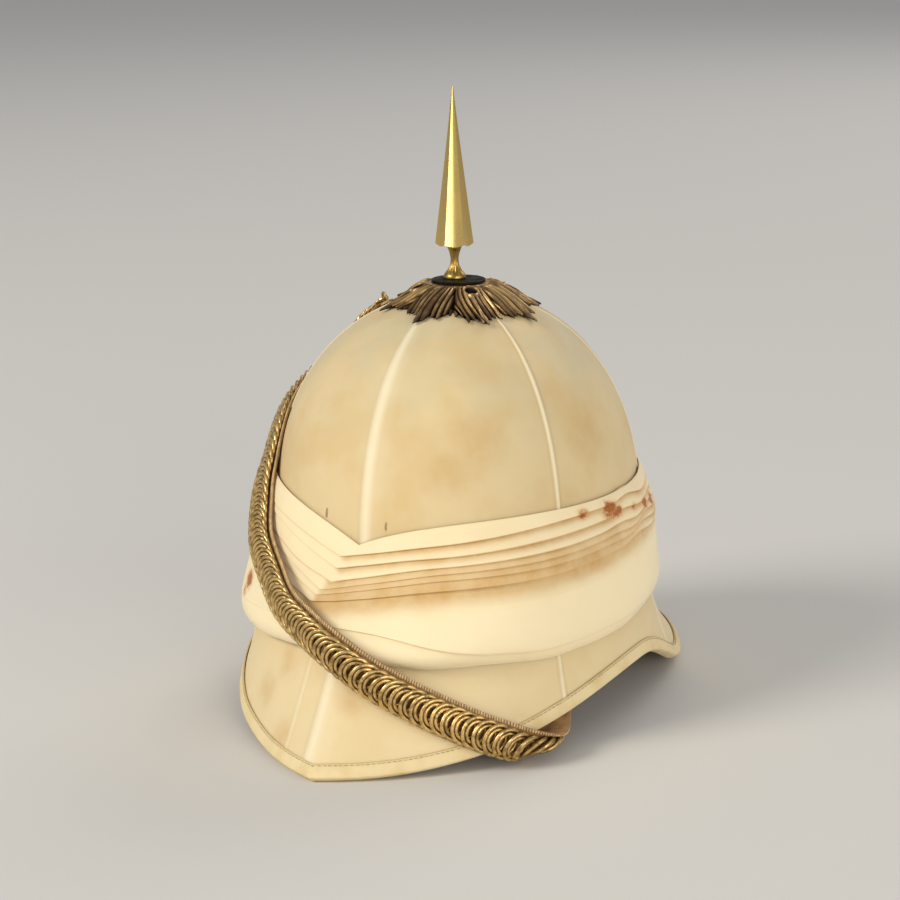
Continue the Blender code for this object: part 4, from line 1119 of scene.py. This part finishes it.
def carrier(name, laid):
    """Loose points that carry a place, the way along, the way out and a size, for a tree to lay things on."""
    mesh = bpy.data.meshes.new(name)
    mesh.from_pydata([tuple(row[0] + AXIS) for row in laid], [], [])
    for mark, part in (("lie_along", 1), ("face_out", 2)):
        values = [c for row in laid for c in row[part]]
        mesh.attributes.new(mark, "FLOAT_VECTOR", "POINT").data.foreach_set("vector", values)
    shares = mesh.attributes.new("size_share", "FLOAT", "POINT")
    shares.data.foreach_set("value", [row[3] for row in laid])
    return put_in_scene(name, mesh)


def lay_along(tree, given, shape):
    """Ends a tree: lays a shape on each point, turned to its frame, realised and given its material."""
    along, out = (
        add_node(tree, "GeometryNodeInputNamedAttribute", {"Name": name}, data_type="FLOAT_VECTOR").outputs[0]
        for name in ("lie_along", "face_out")
    )
    wires = {0: out, 1: along}
    axes = add_node(tree, "FunctionNodeAxesToRotation", wires, primary_axis="Z", secondary_axis="X")
    turn = add_node(tree, "ShaderNodeCombineXYZ", {"Y": given["Lean"]})
    tip = add_node(tree, "FunctionNodeEulerToRotation", {0: turn.outputs[0]})
    wires = {0: axes.outputs[0], 1: tip.outputs[0]}
    both = add_node(tree, "FunctionNodeRotateRotation", wires, rotation_space="LOCAL")
    share = add_node(tree, "GeometryNodeInputNamedAttribute", {"Name": "size_share"}, data_type="FLOAT")
    wires = {"Points": given["Geometry"], "Instance": shape, "Rotation": both.outputs[0]}
    laid = add_node(tree, "GeometryNodeInstanceOnPoints", {**wires, "Scale": share.outputs[0]})
    real = add_node(tree, "GeometryNodeRealizeInstances", {0: laid.outputs[0]})
    wires = {"Geometry": real.outputs[0], "Material": given["Material"]}
    done = add_node(tree, "GeometryNodeSetMaterial", wires)
    add_node(tree, "NodeGroupOutput", {0: done.outputs[0]})


def new_tree(name, sizes):
    """A geometry tree with a mesh in and out, named sizes and a material, and what it is given."""
    tree = bpy.data.node_groups.new(name, "GeometryNodeTree")
    tree.interface.new_socket("Geometry", in_out="OUTPUT", socket_type="NodeSocketGeometry")
    tree.interface.new_socket("Geometry", in_out="INPUT", socket_type="NodeSocketGeometry")
    for size in (*sizes, "Lean"):
        tree.interface.new_socket(size, in_out="INPUT", socket_type="NodeSocketFloat")
    tree.interface.new_socket("Material", in_out="INPUT", socket_type="NodeSocketMaterial")
    return tree, add_node(tree, "NodeGroupInput").outputs


def wire_ring(tree, radius, wire, length_share):
    """A closed ring of wire, its length along the chain set by a share of its width."""
    loop = add_node(tree, "GeometryNodeCurvePrimitiveCircle", {"Resolution": RING_STEPS, "Radius": radius})
    scale = add_node(tree, "ShaderNodeCombineXYZ", {"X": length_share, "Y": 1.0, "Z": 1.0})
    shaped = add_node(tree, "GeometryNodeTransform", {"Geometry": loop.outputs[0], "Scale": scale.outputs[0]})
    section = add_node(tree, "GeometryNodeCurvePrimitiveCircle", {"Resolution": WIRE_SIDES, "Radius": wire})
    wires = {"Curve": shaped.outputs[0], "Profile Curve": section.outputs[0]}
    swept = add_node(tree, "GeometryNodeCurveToMesh", wires)
    return add_node(tree, "GeometryNodeSetShadeSmooth", {"Geometry": swept.outputs[0]}).outputs[0]


def ring_tree():
    """Double wire rings, one pair on each point."""
    tree, given = new_tree("chain_rings", ("Ring Radius", "Wire Radius", "Length Share"))
    radius, wire = given["Ring Radius"], given["Wire Radius"]
    step = add_node(tree, "ShaderNodeMath", {0: wire, 1: 2.05}, operation="MULTIPLY").outputs[0]
    inner = add_node(tree, "ShaderNodeMath", {0: radius, 1: step}, operation="SUBTRACT").outputs[0]
    pair = add_node(tree, "GeometryNodeJoinGeometry")
    for size in (radius, inner):
        tree.links.new(wire_ring(tree, size, wire, given["Length Share"]), pair.inputs[0])
    lay_along(tree, given, pair.outputs[0])
    return tree


def stitch_tree():
    """Short raised stitches, one on each point."""
    tree, given = new_tree("thread_stitches", ("Length", "Thread Radius"))
    ball = add_node(tree, "GeometryNodeMeshUVSphere", {"Segments": 6, "Rings": 5, "Radius": 1.0}).outputs[0]
    half = add_node(tree, "ShaderNodeMath", {0: given["Length"], 1: 0.5}, operation="MULTIPLY").outputs[0]
    thread = given["Thread Radius"]
    scale = add_node(tree, "ShaderNodeCombineXYZ", {"X": half, "Y": thread, "Z": thread})
    shaped = add_node(tree, "GeometryNodeTransform", {"Geometry": ball, "Scale": scale.outputs[0]})
    soft = add_node(tree, "GeometryNodeSetShadeSmooth", {"Geometry": shaped.outputs[0]}).outputs[0]
    lay_along(tree, given, soft)
    return tree


def laid_piece(name, laid, tree, values):
    """A plain mesh piece from a tree laid over points."""
    start = carrier(name + "_points", laid)
    layer = start.modifiers.new("lay", "NODES")
    layer.node_group = tree
    sockets = {item.name: item.identifier for item in tree.interface.items_tree if item.in_out == "INPUT"}
    for key, value in values.items():
        layer[sockets[key]] = value
    start.update_tag()
    mesh = bpy.data.meshes.new_from_object(start.evaluated_get(bpy.context.evaluated_depsgraph_get()))
    start.modifiers.remove(layer)
    bpy.data.objects.remove(start, do_unlink=True)
    if not len(mesh.polygons):
        raise RuntimeError(f"{name} came out empty")
    mesh.name = name
    return put_in_scene(name, mesh)


def ring_spots(samples, sizes):
    """Where each ring of the chain lies."""
    count = round(samples[-1][2] / sizes.ring_pitch)
    up = BACKING_THICKNESS + BACKING_CLEARANCE + CHAIN_THICKNESS * 0.5 - STACK / 2.0 + 0.0002
    laid = []
    for k in range(count):
        distance = samples[-1][2] * (k + 0.5) / count
        middle, along, side, face = route_frame(samples, distance)
        small = end_share(samples, distance)
        where = middle + side * 0.0006 * small + face * (up - 0.0028 * (1.0 - small))
        laid.append((where, along, face, small))
    return laid


def strap_stitch_spots(samples):
    """Where the whipped stitches lie on the strap's upper edge."""
    up = BACKING_THICKNESS * 1.02 - STACK / 2.0
    laid = []
    for k in range(int(samples[-1][2] / STRAP_STITCH_PITCH)):
        distance = (k + 0.5) * STRAP_STITCH_PITCH
        middle, along, side, face = route_frame(samples, distance)
        small = end_share(samples, distance)
        where = middle - side * (BACKING_WIDTH / 2.0 * small - 0.0008) + face * up
        laid.append((where, (side + along * 0.35).normalized(), face, small))
    return laid


def binding_stitch_spots(sizes):
    """Where the stitches lie in the binding's groove."""
    def stitch_line(angle):
        edge, along, normal = edge_frame(angle)
        outer = CORK_WALL / 2.0 + BINDING_CLEARANCE * 0.6 + BINDING_CLOTH - 0.00012
        point = edge - normal * CORK_WALL / 2.0 - along * STITCH_LINE + normal * outer
        face = around(angle) * normal.x + Vector((0, 0, normal.y))
        return place(angle, point.x, point.y), face.normalized()

    line = [stitch_line(k * 0.25) for k in range(1441)]
    laid, carried = [], 0.0
    for (start, face), (end, _) in zip(line, line[1:]):
        carried += (end - start).length
        if carried >= sizes.stitch_pitch:
            carried -= sizes.stitch_pitch
            laid.append((end, (end - start).normalized(), face, 1.0))
    return laid


def stitches(name, laid, length, thread_radius, thread, slot):
    """A row of stitches as one piece."""
    values = {"Length": length, "Thread Radius": thread_radius, "Lean": 0.0, "Material": thread}
    settle(laid_piece(name, laid, stitch_tree(), values), slot)


def give(node, material):
    """Gives a CAD node its finish."""
    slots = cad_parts[node].data.materials
    slots.clear()
    slots.append(material)


def settle(piece, slot, *nodes):
    """A finished piece rides on the helmet and stands for its CAD nodes, which it hides; its slot is not
    used.
    """
    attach(piece, "root")
    if nodes:
        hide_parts(*nodes)


class HELMET_OT_body(bpy.types.Operator):
    """Makes the cloth-covered body and its edge binding"""

    bl_idname = "helmet.body"
    bl_label = "Body and binding"

    def execute(self, context):
        sizes, colours = context.scene.helmet_sizes, context.scene.helmet_colours
        shell = make_shell(sizes, crown_cloth(colours), inner_cloth())
        settle(shell, "aged_cream_cloth", "helmet_shell")
        settle(make_binding(binding_cloth(colours)), "pale_binding", "edge_binding")
        thread = thread_cotton("binding_thread", colours.thread)
        laid = binding_stitch_spots(sizes)
        stitches("binding_stitches", laid, sizes.stitch, 0.00026, thread, "pale_binding")
        return {"FINISHED"}


class HELMET_OT_wrap(bpy.types.Operator):
    """Makes the pleated wrap"""

    bl_idname = "helmet.wrap"
    bl_label = "Pleated wrap"

    def execute(self, context):
        sizes, colours = context.scene.helmet_sizes, context.scene.helmet_colours
        muslin = wrap_muslin(colours)
        pleats, cloth = make_pleats(sizes, muslin), make_smooth_wrap(sizes, muslin)
        settle(pleats, "cream_muslin", "puggaree_folds")
        settle(cloth, "cream_muslin", "puggaree_wrap")
        return {"FINISHED"}


class HELMET_OT_crest(bpy.types.Operator):
    """Makes the leaf base, disc, foot and spike"""

    bl_idname = "helmet.crest"
    bl_label = "Leaf base and spike"

    def execute(self, context):
        sizes, colours = context.scene.helmet_sizes, context.scene.helmet_colours
        settle(make_leaf_base(sizes, leaf_bronze(colours)), "dark_leaf_brass", "leaf_base")
        # Painted shade: the top disc is coloured near black because it lies in shadow between the leaf base
        # and the foot.
        painted_shade_dark = worn_brass("painted_shade_dark_brass", linear("2E2418"), linear("140F0A"), 0.5, 0.006, 0.8)
        give("top_disc", painted_shade_dark)
        polished = worn_brass("polished_cast_brass", colours.brass, linear("C09A4E"), 0.26, 0.030, 0.25)
        settle(make_spike(polished), "bright_brass", "spike")
        dulled = worn_brass("dulled_turned_brass", linear("B2924F"), linear("6E5426"), 0.32, 0.004, 0.6)
        settle(make_foot(dulled), "bright_brass", "spike_foot")
        return {"FINISHED"}


class HELMET_OT_chain(bpy.types.Operator):
    """Makes the chin chain, its backing strap and their fittings"""

    bl_idname = "helmet.chain"
    bl_label = "Chin chain"

    def execute(self, context):
        sizes, colours = context.scene.helmet_sizes, context.scene.helmet_colours
        samples = chain_route()
        brass = worn_brass("antique_brass_wire", colours.chain, linear("5B4320"), 0.34, 0.003, 0.75)
        values = {
            "Ring Radius": sizes.ring_radius, "Wire Radius": sizes.wire_radius,
            "Lean": sizes.ring_lean, "Length Share": 0.94, "Material": brass,
        }
        rings = laid_piece("chin_chain_rings", ring_spots(samples, sizes), ring_tree(), values)
        settle(rings, "antique_brass", "chain_1", "chain_2", "chain_3", "chain_4")
        settle(make_backing(samples, backing_leather(colours)), "brown_leather", "chain_backing")
        thread = thread_cotton("strap_thread", linear("E2C28E"))
        stitches("strap_stitches", strap_stitch_spots(samples), 0.0028, 0.00052, thread, "brown_leather")
        for node in ("crown_hook", "crown_end_ring", "brim_staple", "brim_end_ring"):
            give(node, brass)
        return {"FINISHED"}


def soft_light(name, where, aim, size, power, colour):
    """A large soft lamp."""
    data = bpy.data.lights.new(name, "AREA")
    data.shape, data.size, data.energy, data.color = "DISK", size, power, colour
    lamp = put_in_scene(name, data)
    lamp.location = where
    lamp.rotation_euler = (Vector(aim) - Vector(where)).to_track_quat("-Z", "Y").to_euler()


class HELMET_OT_studio(bpy.types.Operator):
    """Makes the floor, the lights and the camera"""

    bl_idname = "helmet.studio"
    bl_label = "Studio"

    def execute(self, context):
        scene = context.scene
        mesh = bpy.data.meshes.new("floor")
        signs = ((-1, -1), (1, -1), (1, 1), (-1, 1))
        corners = [(x * FLOOR_REACH, y * FLOOR_REACH, FLOOR_HEIGHT) for x, y in signs]
        mesh.from_pydata(corners, [], [(0, 1, 2, 3)])
        paint = (*scene.helmet_colours.floor, 1.0)
        mesh.materials.append(start_material("plain_matt_board", Roughness=0.9, Base_Color=paint)[0])
        put_in_scene("floor", mesh)
        scene.world = bpy.data.worlds.new("studio")
        scene.world.use_nodes = True
        sky = scene.world.node_tree.nodes["Background"].inputs
        sky["Color"].default_value, sky["Strength"].default_value = (0.93, 0.95, 1.0, 1.0), SKY_STRENGTH
        scene.view_settings.view_transform = "Standard"
        for lamp in LAMPS:
            soft_light(*lamp)
        camera = put_in_scene("camera", bpy.data.cameras.new("camera"))
        camera.data.sensor_width, camera.data.lens = CAMERA_SENSOR, CAMERA_LENS
        turn = Matrix((CAMERA_RIGHT, CAMERA_UP, -CAMERA_AHEAD)).transposed().to_4x4()
        camera.matrix_world = Matrix.Translation(CAMERA_PLACE + AXIS) @ turn
        scene.camera = camera
        return {"FINISHED"}


class HELMET_PT_sidebar(bpy.types.Panel):
    """Lists what the add-on makes, with its sizes and colours"""

    bl_label = "Pith helmet"
    bl_space_type = "VIEW_3D"
    bl_region_type = "UI"
    bl_category = "Helmet"

    def draw(self, context):
        for made in OPERATORS:
            self.layout.operator(made.bl_idname)
        for group in (context.scene.helmet_sizes, context.scene.helmet_colours):
            for key in group.__annotations__:
                self.layout.prop(group, key)


OPERATORS = (HELMET_OT_studio, HELMET_OT_body, HELMET_OT_wrap, HELMET_OT_crest, HELMET_OT_chain)
CLASSES = (HelmetSizes, HelmetColours, *OPERATORS, HELMET_PT_sidebar)


def register():
    """Makes the classes and their settings known to the program."""
    for made in CLASSES:
        bpy.utils.register_class(made)
    bpy.types.Scene.helmet_sizes = PointerProperty(type=HelmetSizes)
    bpy.types.Scene.helmet_colours = PointerProperty(type=HelmetColours)


def unregister():
    """Takes them away again."""
    del bpy.types.Scene.helmet_colours
    del bpy.types.Scene.helmet_sizes
    for made in reversed(CLASSES):
        bpy.utils.unregister_class(made)


def main():
    """Makes the whole helmet."""
    register()
    bpy.ops.helmet.studio()
    bpy.ops.helmet.body()
    bpy.ops.helmet.wrap()
    bpy.ops.helmet.crest()
    bpy.ops.helmet.chain()


if __name__ == "__main__":
    main()
